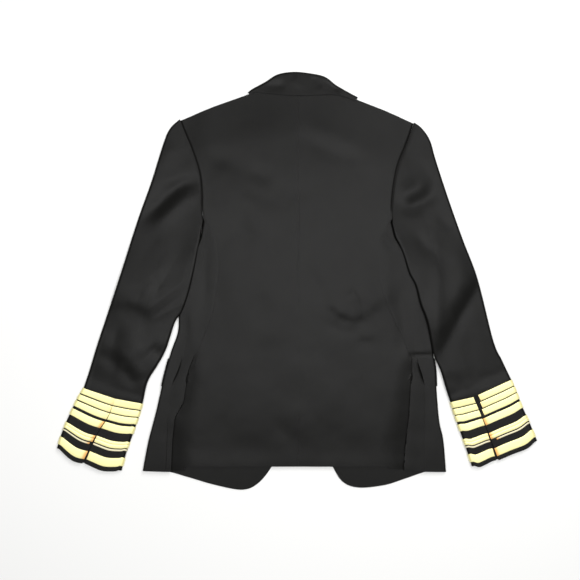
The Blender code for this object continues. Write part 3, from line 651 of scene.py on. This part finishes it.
def stepped(x, y, ledges):
    """Sum of soft steps: minus heights lie higher to the right of their path and settle further out."""
    total = np.zeros_like(x)
    for path, half_width, height in ledges:
        share, distance = beside_path(x, y, path)
        taper = smooth(share / 0.4) * smooth((1 - share) / 0.4)
        distance = distance * np.sign(height)
        rise = 0.5 + 0.5 * np.tanh(distance / half_width)
        total += abs(height) * taper * rise * np.exp(-(np.maximum(distance, 0) / 105.0) ** 2)
    return total


def drifted(x, y):
    """Slow unevenness of worn cloth: smooth random hills, in three sizes."""
    total = np.zeros_like(x)
    for cell, height, seed in DRIFT:
        table = np.random.RandomState(seed).uniform(-1, 1, (64, 64))
        across, up = x / cell + 640, y / cell + 640
        i, j = np.floor(across).astype(int), np.floor(up).astype(int)
        u, v = smooth(across - i), smooth(up - j)
        low = table[i % 64, j % 64] * (1 - u) + table[(i + 1) % 64, j % 64] * u
        high = table[i % 64, (j + 1) % 64] * (1 - u) + table[(i + 1) % 64, (j + 1) % 64] * u
        total += height * (low * (1 - v) + high * v)
    return total


def hem_swell(x, y):
    """Lift of the back hem off the fronts."""
    return HEM_LIFT * np.exp(-(np.maximum(y, 0) / 22.0) ** 2) * smooth((1 - np.abs(x) / 290) / 0.3)


def vent_relief(side, x, y):
    """Height at a side vent: the cloth falls slowly outwards, rises sharply and settles."""
    past = (x - vent_edge_x(side, y)) * side
    width = np.interp(y, VENT_LEVELS, VENT_WIDTH[side])
    depth = np.interp(y, VENT_LEVELS, VENT_DEPTHS)
    swell = np.interp(y, VENT_LEVELS, VENT_SWELL)
    fall = -depth * np.clip((past + VENT_SLOPE) / (width + VENT_SLOPE), 0, 1) ** 1.8
    risen = smooth((past - width) / 1.6 + 0.5)
    return fall * (1 - risen) + swell * risen * np.exp(-(np.maximum(past - width - 2, 0) / 18.0) ** 2)


def lapped(side, x, y):
    """Columns moved so that the outer side of a vent's hollow laps a little over it."""
    past = (x - vent_edge_x(side, y)) * side - np.interp(y, VENT_LEVELS, VENT_WIDTH[side])
    lap = VENT_LAP * np.tanh(past / 0.8) * np.exp(-(past / 8.0) ** 2) * (1 - smooth((y - 150) / 62))
    return x - side * lap


def pressed(distance):
    """Dip of a pressed seam at this distance from its line, with a low ridge beside it."""
    dip = -SEAM_PRESS * np.exp(-(distance / SEAM_PRESS_WIDTH) ** 2)
    return dip + SEAM_RIDGE * np.exp(-((distance - SEAM_RIDGE_AT) / 2.2) ** 2)


def from_ends(flat, first=True, last=True):
    """Distance of grid points from the first and the last column."""
    distance = np.full(flat.shape[:2], 1e3)
    if first:
        distance = np.minimum(distance, np.hypot(*np.moveaxis(flat - flat[:, :1], 2, 0)))
    if last:
        distance = np.minimum(distance, np.hypot(*np.moveaxis(flat - flat[:, -1:], 2, 0)))
    return distance


def body_top(x, y):
    """Upper face of the cloth over the whole body."""
    across = np.abs(x)
    centre = np.exp(-(across / 150.0) ** 2.5) * smooth((y + 10) / 130)
    top = SIDE_HEIGHT + (CENTRE_HEIGHT - SIDE_HEIGHT) * centre
    vent = smooth((across - 90) / 90) * (1 - smooth((y - 190) / 90))
    top = top + (VENT_HEIGHT - SIDE_HEIGHT) * vent
    shoulder = neck_and_shoulder(x)
    edge = SHOULDER_HEIGHT + (NECK_HEIGHT - SHOULDER_HEIGHT) * (1 - smooth((across - 165) / 50))
    rise = smooth((shoulder - y) / 118)
    calm = smooth((side_distance(x, y) - 4) / 22)
    relief = creased(x, y, BACK_CREASES) * 0.3 + folded(x, y, BACK_FOLDS) * FOLD_GAIN + drifted(x, y)
    relief = relief + stepped(x, y, BACK_STEPS)
    for side, _ in SIDES:
        relief = relief + creased(x, y, SIDE_CREASES[side]) * 0.6 + folded(x, y, SIDE_FOLDS[side])
    top = top + relief * smooth((shoulder - y) / 70) * calm + hem_swell(x, y) + vents(x, y) * smooth((side_distance(x, y) - 3) / 16)
    return edge + (top - edge) * rise


def vents(x, y):
    return np.where(x < 0, vent_relief(LEFT, x, y), vent_relief(RIGHT, x, y))


def quads(index):
    return np.stack([index[:-1, :-1], index[:-1, 1:], index[1:, 1:], index[1:, :-1]], axis=-1).reshape(-1, 4)


def lengths(points, axis):
    """Mean running length along one direction of a grid."""
    step = np.linalg.norm(np.diff(points, axis=axis), axis=2).mean(axis=1 - axis)
    return np.concatenate([[0], np.cumsum(step)])


def signed_volume(points, faces):
    a, b, c, d = (points[faces[:, k]] for k in range(4))
    return np.einsum("ij,ij->", a, np.cross(b, c)) + np.einsum("ij,ij->", a, np.cross(c, d))


def finished(mesh, node_name, finish):
    """Give a mesh its finish and put it in place of its solid."""
    mesh.shade_smooth()
    mesh.set_sharp_from_angle(angle=0.9)
    mesh.materials.append(FINISH[finish])
    piece = bpy.data.objects.new(mesh.name, mesh)
    bpy.context.collection.objects.link(piece)
    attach(piece, "root")
    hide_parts(node_name)
    return piece


def cloth(node_name, outer, inner, finish="uniform_cloth", painted_end_shade=None):
    """One closed wall of cloth between its outer and its inner face."""
    rows, columns = outer.shape[:2]
    count = rows * columns
    points = np.concatenate([outer.reshape(-1, 3), inner.reshape(-1, 3)])
    index = np.arange(count).reshape(rows, columns)
    rim = np.concatenate([index[0, :], index[1:, -1], index[-1, -2::-1], index[-2:0:-1, 0]])
    ahead = np.roll(rim, -1)
    edge = np.column_stack([ahead, rim, rim + count, ahead + count])
    faces = np.concatenate([quads(index), quads(index + count)[:, ::-1], edge])
    if signed_volume(points, faces) < 0:
        faces = faces[:, ::-1]
    u, v = np.meshgrid(lengths(outer, 1), lengths(outer, 0))
    uv = np.tile(np.column_stack([u.ravel(), v.ravel()]), (2, 1))
    mesh = bpy.data.meshes.new("cloth_" + node_name)
    mesh.from_pydata(points * MM + OFFSET, [], faces.tolist())
    corners = np.zeros(len(mesh.loops), dtype=np.int32)
    mesh.loops.foreach_get("vertex_index", corners)
    layer = mesh.uv_layers.new(name="UVMap")
    layer.data.foreach_set("uv", (uv[corners] * MM).ravel().astype(np.float32))
    # Painted shade at the braid ends, read by the braid finish
    if painted_end_shade is not None:
        layer = mesh.attributes.new("painted_end_shade", "FLOAT", "POINT")
        layer.data.foreach_set("value", np.tile(painted_end_shade.ravel(), 2).astype(np.float32))
    return finished(mesh, node_name, finish)


def armhole_share(side):
    """Share of the armhole, from the underarm, where the side-back seam meets it."""
    probe = line(ARMHOLE[side], steps(200))
    return steps(200)[np.argmin(np.abs(probe[:, 1] - BACK_SEAM[side][-1][1]))]


def neck_and_shoulder(x):
    return np.where(x < NECK[0][0], height_of_crossing(SHOULDER[LEFT], x),
                    np.where(x > NECK[-1][0], height_of_crossing(SHOULDER[RIGHT], x),
                             height_of_crossing(NECK, x)))


def vent_edge_x(side, y):
    table = np.array(BACK_SEAM[side][:6], float)
    return np.interp(y, table[:, 1], table[:, 0])


def front_points(side, rows, up_shares, low_shares, inset, dips=()):
    """Points of a front at these shares of its side edge, from hem to underarm."""
    edge = line(SIDE_EDGE[side], rows)
    centre = edge + inward(edge, -side) * BODY_FOLD_RADIUS
    seam = shifted(line(FRONT_SEAM[side], rows), side * SEAM_SHOWN)
    roll = line(ROLL_LINE[side], rows ** 1.7)
    upper = span(seam, centre, up_shares)
    hem = line(FRONT_HEM[side], low_shares)
    half = np.clip(low_shares * 2, 0, 1)
    rest = np.clip(low_shares * 2 - 1, 0, 1)
    hole = shifted(line(ARMHOLE[side], half), -side * 1.8)
    shoulder = line(SHOULDER[side][:-1] + [ROLL_LINE[side][-1]], rest)
    head = np.where((low_shares <= 0.5)[:, None], hole, shoulder)
    lower = span_between(centre, roll, low_shares, hem, head, rows, side)

    def top(x, y):
        return body_top(x, y) + folded(x, y, dips)

    def low(x, y):
        return front_lift(side, x, y) + lifted_folds(side, x, y)

    return wrapped(upper, lower, edge, centre, top, low, inset)


def centre_at_ends(side):
    edge = line(SIDE_EDGE[side], steps(20))
    middle = edge + inward(edge, -side) * BODY_FOLD_RADIUS
    return middle[0], middle[-1]


def span_between(centre, roll, shares, first, last, rows, side):
    """Lower face of a front at any rows of it; the end curves fade with the row."""
    u = shares[None, :, None]
    start, end = centre_at_ends(side)
    roll_start = np.array(ROLL_LINE[side][0], float)
    roll_end = np.array(ROLL_LINE[side][-1], float)
    first_plain = start * (1 - u[0]) + roll_start * u[0]
    last_plain = end * (1 - u[0]) + roll_end * u[0]
    v = rows[:, None, None]
    plain = centre[:, None] * (1 - u) + roll[:, None] * u
    pull_first = first - first_plain
    pull_last = last - last_plain
    pull_first[0] = 0
    pull_last[0] = 0
    return plain + (1 - v) ** 2 * pull_first[None] + v ** 6 * pull_last[None]


def sleeve_line(above, below, rows):
    """A sleeve line at rows 0..1 above the braid and 1..2 down the cuff."""
    return np.vstack([line(above, rows[rows <= 1]), line(below, rows[rows > 1] - 1)])


def end_curve(start, via, end, shares):
    return line([tuple(start)] + list(via) + [tuple(end)], shares)


def top_sleeve_points(side, rows, inset, up_count=3, low_count=4):
    edge = sleeve_line(SLEEVE_OUTER[side], CUFF_OUTER[side], rows)
    radius = SLEEVE_FOLD_RADIUS * (0.5 + 0.5 * smooth(rows / 0.1))
    centre = edge + inward(edge, -side) * radius[:, None]
    split = np.clip(rows - 1, 0, 1) * CUFF_SPLIT
    seam = sleeve_line(HIND_SEAM[side], VENT_LINE[side], rows)
    seam = seam + np.column_stack([side * (SEAM_SHOWN + split), 0 * rows])
    fore = sleeve_line(FORE_SEAM[side], CUFF_FORE[side], rows)
    fore = shifted(fore, side * SEAM_SHOWN)
    up, low_shares = steps(up_count), steps(low_count)
    reach_top = np.clip(1 - rows * 1.6, 0, 1) ** 2
    reach_cuff = np.clip(rows - 1, 0, 1)
    hole = line(ARMHOLE[side], steps(200))
    head_up = armhole_run(hole, HIND_SEAM[side][0][1], centre[0], up, side)
    head_low = armhole_run(hole, FORE_SEAM[side][0][1], centre[0], low_shares, side)[::-1]
    ends = CUFF_END[side]
    upper = span(seam, centre, up, head_up, end_curve(seam[-1], ends["outer"][::-1], centre[-1], up),
                 reach_top, reach_cuff)
    lower = span(centre, fore, low_shares, head_low,
                 end_curve(centre[-1], ends["under"], fore[-1], low_shares), reach_top, reach_cuff)
    top, low = sleeve_heights(side, rows)
    return wrapped(upper, lower, edge, centre, top, low, inset)


def armhole_run(hole, from_y, end, shares, side):
    """Points along the armhole, just outside it, from a height up to the sleeve's tip."""
    start = np.argmin(np.abs(hole[:, 1] - from_y))
    run = hole[start:, :]
    length = np.linspace(0, 1, len(run))
    points = np.column_stack([np.interp(shares, length, run[:, 0]), np.interp(shares, length, run[:, 1])])
    points[:, 0] += side * SEAM_SHOWN
    points += shares[:, None] ** 6 * (end - points[-1])
    return points


def under_sleeve_points(side, rows, inset, up_count=4, low_count=2):
    edge = sleeve_line(SLEEVE_INNER[side], CUFF_INNER[side], rows)
    edge = edge - np.column_stack([side * 0.7 * (1 - smooth((rows - 0.1) / 0.06)), 0 * rows])
    radius = SLEEVE_FOLD_RADIUS * (0.2 + 0.8 * smooth(rows / 0.1))
    centre = edge + inward(edge, side) * radius[:, None]
    split = np.clip(rows - 1, 0, 1) * CUFF_SPLIT
    seam = sleeve_line(HIND_SEAM[side], VENT_LINE[side], rows)
    seam = seam - np.column_stack([side * (SEAM_SHOWN + split), 0 * rows])
    fore = shifted(sleeve_line(FORE_SEAM[side], CUFF_FORE[side], rows), -side * SEAM_SHOWN)
    up, low_shares = steps(up_count), steps(low_count)
    reach_top = np.clip(1 - rows * 1.6, 0, 1) ** 2
    reach_cuff = np.clip(rows - 1, 0, 1)
    hole = shifted(line(ARMHOLE[side], steps(200)), side * SEAM_SHOWN)
    head_up = underarm_run(hole, HIND_SEAM[side][0][1], centre[0], up)
    head_low = underarm_run(hole, FORE_SEAM[side][0][1], centre[0], low_shares)[::-1]
    ends = CUFF_END[side]
    upper = span(seam, centre, up, head_up, end_curve(seam[-1], ends["inner"], centre[-1], up),
                 reach_top, reach_cuff)
    lower = span(centre, fore, low_shares, head_low, None, reach_top, reach_cuff)
    top, low = sleeve_heights(side, rows)
    return wrapped(upper, lower, edge, centre, top, low, inset)


def underarm_run(hole, from_y, end, shares):
    """Points down the armhole from a height to the underarm, where the sleeve turns."""
    start = np.argmin(np.abs(hole[:, 1] - from_y))
    run = hole[:start + 1][::-1]
    length = np.linspace(0, 1, len(run))
    points = np.column_stack([np.interp(shares, length, run[:, 0]), np.interp(shares, length, run[:, 1])])
    return points + shares[:, None] ** 12 * (end - points[-1])


def back_rows(side, seam_rows, armhole_rows):
    seam = line(BACK_SEAM[side], steps(seam_rows))
    start = armhole_share(side)
    hole = line(ARMHOLE[side], start + (1 - start) * steps(armhole_rows))
    return shifted(np.vstack([seam, hole[1:]]), -side * SEAM_SHOWN)


def back_panel(side, name):
    outer_rail = back_rows(side, (len(side_shares(side)) - 1) * FINE, 8 * FINE)
    count = len(outer_rail) - 1
    centre_top = height_of_crossing(NECK, 0.0)
    centre_rail = np.column_stack([np.full(count + 1, side * 0.04), steps(count) * centre_top])
    shares = gathered(72)
    across = outer_rail[-1, 0] * (1 - shares) + centre_rail[-1, 0] * shares
    top_line = np.column_stack([across, neck_and_shoulder(across)])
    flat = span(outer_rail, centre_rail, shares, last=top_line)
    x, y = flat[..., 0], flat[..., 1]
    at_seam = pressed(from_ends(flat, last=False)) * (0.2 * smooth((y - 205) / 25) + 3.0 * smooth((y - 470) / 30))
    at_centre = pressed(from_ends(flat, first=False)) * (0.1 + smooth((y - 280) / 40) * (1 - smooth((y - 500) / 40)))
    top = body_top(x, y) + at_seam + at_centre * 0.5
    return cloth("back_" + name, stack(flat, top), stack(flat, top - BODY_WALL))


def side_panel(side, name):
    rows = refined(side_shares(side))
    front_rail = shifted(line(FRONT_SEAM[side], rows), -side * SEAM_SHOWN)
    back_rail = line(BACK_SEAM[side], steps(len(rows) - 1))
    tuck = 1 - smooth((back_rail[:, 1] - 164) / 22)
    back_rail = shifted(back_rail, side * SEAM_SHOWN)
    back_rail[:, 0] -= side * 24 * tuck
    shares = gathered(76, 0.5)
    first = span(front_rail[:1], back_rail[:1], shares)[0]
    hem = np.interp(np.abs(first[:, 0]), [180, 205, 252], [-4, -7, -10])
    under_back = 1 - smooth(((first[:, 0] - vent_edge_x(side, 0.0)) * side + 4) / 3)
    first[:, 1] = hem + (2.5 - hem) * under_back
    flat = span(front_rail, back_rail, shares, first=first)
    x, y = flat[..., 0], flat[..., 1]
    top = body_top(x, y)
    top = top + pressed(from_ends(flat, last=False)) * SIDE_SEAM_PRESS[side] + folded(x, y, POCKET_DIPS[side])
    top = top + pressed(from_ends(flat, first=False)) * smooth((y - 205) / 25) * 0.3
    past_edge = (x - vent_edge_x(side, y)) * side
    tucked = (1 - smooth((past_edge + 6.5) / 3.0)) * (1 - smooth((y - 146) / 14))
    top = top - (BODY_WALL + 0.3) * tucked - 0.12 * (1 - smooth((y - 200) / 12))
    flat[..., 0] = lapped(side, x, y)
    return cloth("side_" + name, stack(flat, top), stack(flat, top - BODY_WALL))


def lifted_folds(side, x, y):
    """Folds of the underside; they only rise, because the front lies on the floor."""
    return np.maximum(folded(x, y, FRONT_FOLDS[side]), 0)


def front_panel(side, name):
    rows = refined(side_shares(side))
    up = gathered(12)
    low = steps(12 * FINE)
    outer = front_points(side, rows, up, low, 0.0, POCKET_DIPS[side])
    inner = front_points(side, rows, up, low, BODY_WALL, POCKET_DIPS[side])
    return cloth("front_" + name, outer, inner)


def flap(side, name):
    probe = line(SIDE_EDGE[side], steps(200))
    rows = refined(np.interp(FLAP_LEVELS, probe[:, 1], steps(200)), 14)
    up = 0.1 + 0.9 * steps(12)
    low = steps(60)[:21]
    outer = front_points(side, rows, up, low, -SEAM_GAP - FLAP_WALL)
    inner = front_points(side, rows, up, low, -SEAM_GAP)
    return cloth("pocket_flap_" + name, outer, inner)


def lapel(side, name):
    rows = steps(60)
    edge = line(LAPEL_EDGE[side], rows)
    roll = line(LAPEL_ROLL[side], rows)
    flat = span(edge, roll, steps(18))
    bottom = np.zeros(flat.shape[:2])
    return cloth("lapel_" + name, stack(flat, bottom), stack(flat, bottom + LAPEL_WALL))


def collar():
    rows = steps(108)
    fold = line(COLLAR_FOLD, rows)
    fall = line(COLLAR_FALL, rows)
    under = line(COLLAR_UNDER, rows)
    depth = np.hypot(*(fold - fall).T)
    towards = (fall - fold) / depth[:, None]
    radius = np.clip(depth * 0.5, 2.6, 4.5)
    centre = fold + towards * radius[:, None]
    upper = span(fall, centre, steps(14))
    lower = span(centre, under, steps(20))

    def top(x, y):
        return COLLAR_HEIGHT + drifted(x + 300, y) + folded(x, y, COLLAR_FOLDS) * FOLD_GAIN

    def low(x, y):
        return 1.4 * (1 - smooth((np.abs(x) - 30) / 35))

    outer = wrapped(upper, lower, fold, centre, top, low, 0.0)
    inner = wrapped(upper, lower, fold, centre, top, low, COLLAR_WALL)
    return cloth("collar", outer, inner)


def sleeve_heights(side, rows):
    raised = CUFF_RAISE * smooth((rows - 0.955) / 0.04)

    def shaped(x):
        return raised if np.ndim(x) == 1 else raised[:, None]

    def top(x, y):
        relief = creased(x, y, SLEEVE_CREASES[side]) * 0.3 + folded(x, y, SLEEVE_FOLDS[side]) * FOLD_GAIN
        relief = relief + stepped(x, y, SLEEVE_STEPS[side])
        relief = relief + drifted(x + 140 * side, y) * smooth((rows_of(x, rows) - 0.05) / 0.1)
        relief = relief - 0.9 * np.exp(-(rows_of(x, rows) * 120) ** 2)
        return SLEEVE_HEIGHT + shaped(x) + slow_lift(side, x, y) + relief * on_cloth(x, rows)

    def low(x, y):
        return shaped(x) + sleeve_lift(side, x, y)

    return top, low


def slow_lift(side, x, y):
    """The same rise as under the sleeve, spread over more of its upper face."""
    inside = (side_edge_x(side, y) - x) * side
    climb = smooth((SLEEVE_CLIMB_TOP + 60 - y) / 150) * (1 - smooth((160 - y) / 60))
    return (SIDE_HEIGHT + 0.45 - SLEEVE_PRESSED) * climb * np.clip((inside + 136) / 132, 0, 1)


def rows_of(x, rows):
    return rows if np.ndim(x) == 1 else rows[:, None]


def on_cloth(x, rows):
    """1 above the braid and less under it, where the cuff is stiff."""
    return 1 - 0.7 * smooth((rows_of(x, rows) - 0.93) / 0.1)


def sleeves(side, name):
    rows = refined(np.concatenate([steps(22), 1 + steps(5)[1:]]), 6)
    made = []
    for kind, points in (("top", top_sleeve_points), ("under", under_sleeve_points)):
        counts = (44, 30) if kind == "top" else (30, 16)
        made.append(cloth(kind + "_sleeve_" + name, points(side, rows, 0.0, *counts),
                          points(side, rows, SLEEVE_WALL, *counts)))
    return made


def braids(side, name):
    made = []
    for number, (from_end, width) in enumerate(BRAID_ROWS, start=1):
        upper_edge = 2 - (from_end + width) / CUFF_DEPTH
        lower_edge = 2 - from_end / CUFF_DEPTH
        band = np.linspace(upper_edge, lower_edge, 13)
        rows = np.concatenate([steps(44), band, [2.0]])
        across = np.linspace(-1, 1, 13)
        crown = BRAID_CROWN * (1 - across ** 4)
        if number == GROOVED_ROW:
            crown = crown - BRAID_GROOVE * np.exp(-(across / 0.16) ** 2)
        faces = []
        for inset in (-SEAM_GAP - BRAID_WALL, -SEAM_GAP):
            outside = top_sleeve_points(side, rows, inset, 30, 20)[-14:-1]
            inside = under_sleeve_points(side, rows, inset, 30, 20)[-14:-1]
            faces.append(np.concatenate([outside[:, BRAID_SKIPS[side][number - 1]:-1], inside[:, ::-1]], axis=1))
        outer, inner = faces
        away = outer - inner
        outer = outer + away * ((crown - BRAID_CROWN) / BRAID_WALL)[:, None, None]
        run = lengths(outer, 1)
        # Painted shade at the braid ends: strongest at the vent end, weaker at the other end
        end = np.exp(-(run / 5.5) ** 2) + 0.25 * np.exp(-((run[-1] - run) / 3.0) ** 2)
        painted_end_shade = np.tile(end if number in PAINTED_END_SHADE_ROWS else 0.25 * end, (13, 1))
        finish = "pale_braid" if width < 5 else "gold_braid"
        made.append(cloth("braid_%s_%d" % (name, number), outer, inner, finish, painted_end_shade))
    return made


def buttons():
    """Plain domed buttons on the hidden front, each spun from half its section."""
    half_section = [(0.0, BUTTON_HEIGHT), (BUTTON_RADIUS * 0.7, BUTTON_HEIGHT), (BUTTON_RADIUS, 1.9),
                    (BUTTON_RADIUS * 0.98, 1.2), (BUTTON_RADIUS * 0.7, BUTTON_DOME), (0.0, 0.0)]
    outline = np.clip(line(half_section, steps(18)), 0, [2 * BUTTON_RADIUS, BUTTON_HEIGHT])
    for number, level in enumerate(BUTTON_ROWS, start=1):
        form = bmesh.new()
        rim = [form.verts.new((radius, level, height)) for radius, height in outline]
        edges = [form.edges.new(pair) for pair in zip(rim, rim[1:])]
        bmesh.ops.spin(form, geom=rim + edges, cent=(0, level, 0), axis=(0, 0, 1),
                       angle=2 * math.pi, steps=48, use_merge=True)
        bmesh.ops.remove_doubles(form, verts=form.verts, dist=0.01)
        bmesh.ops.recalc_face_normals(form, faces=form.faces)
        bmesh.ops.scale(form, vec=(MM, MM, MM), verts=form.verts)
        bmesh.ops.translate(form, vec=OFFSET, verts=form.verts)
        mesh = bpy.data.meshes.new("domed_front_button_%d" % number)
        form.to_mesh(mesh)
        form.free()
        finished(mesh, "front_button_%d" % number, "brass_button")


OFFSET = np.array([-sum(OUTLINE_X) / 2 * MM, -sum(OUTLINE_Y) / 2 * MM, 0])
FINISH = {
    "uniform_cloth": uniform_cloth("uniform_cloth", CLOTH_DARK, CLOTH_LIGHT),
    "gold_braid": braid_material("gold_braid", GOLD_DEEP, GOLD_PALE, 0.35),
    "pale_braid": braid_material("pale_braid", PALE_THREAD, PALE_THREAD, 0.2),
    "brass_button": brass_material("brass_button"),
}

camera = bpy.data.objects.new("camera", bpy.data.cameras.new("camera"))
camera.location = (-0.0133, -0.018, CAMERA_HEIGHT)
camera.data.lens = 71.9
camera.data.sensor_width = 36
bpy.context.collection.objects.link(camera)
bpy.context.scene.camera = camera

for side, name in SIDES:
    back = back_panel(side, name)
    panel = side_panel(side, name)
    front = front_panel(side, name)
    turned = lapel(side, name)
    pocket = flap(side, name)
    top_sleeve, under_sleeve = sleeves(side, name)
    bands = braids(side, name)
neck = collar()
buttons()

floor_mesh = bpy.data.meshes.new("floor")
form = bmesh.new()
bmesh.ops.create_grid(form, x_segments=1, y_segments=1, size=4)
form.to_mesh(floor_mesh)
form.free()
floor = bpy.data.objects.new("floor", floor_mesh)
bpy.context.collection.objects.link(floor)
paper, _, shader = new_material("floor_white")
shader.inputs["Base Color"].default_value = (0.86, 0.86, 0.85, 1)
shader.inputs["Roughness"].default_value = 0.9
floor_mesh.materials.append(paper)


def area_light(name, place, aim, width, depth, power):
    data = bpy.data.lights.new(name, "AREA")
    data.shape = "RECTANGLE"
    data.size = width
    data.size_y = depth
    data.energy = power
    lamp = bpy.data.objects.new(name, data)
    lamp.location = place
    towards = np.array(place) - np.array(aim)
    flat = math.hypot(towards[0], towards[1])
    lamp.rotation_euler = (math.atan2(flat, towards[2]), 0, math.atan2(towards[0], -towards[1]))
    bpy.context.collection.objects.link(lamp)


area_light("soft_box", (0.06, 0.06, 2.7), (0.06, 0.06, 0), 2.5, 0.8, 75)
area_light("window", (0.8, 1.4, 2.0), (0, 0, 0), 1.2, 1.2, 26)
sky = bpy.data.worlds.new("sky")
sky.use_nodes = True
sky.node_tree.nodes["Background"].inputs["Color"].default_value = (1, 1, 1, 1)
sky.node_tree.nodes["Background"].inputs["Strength"].default_value = 0.11
bpy.context.scene.world = sky
bpy.context.scene.view_settings.view_transform = "Standard"
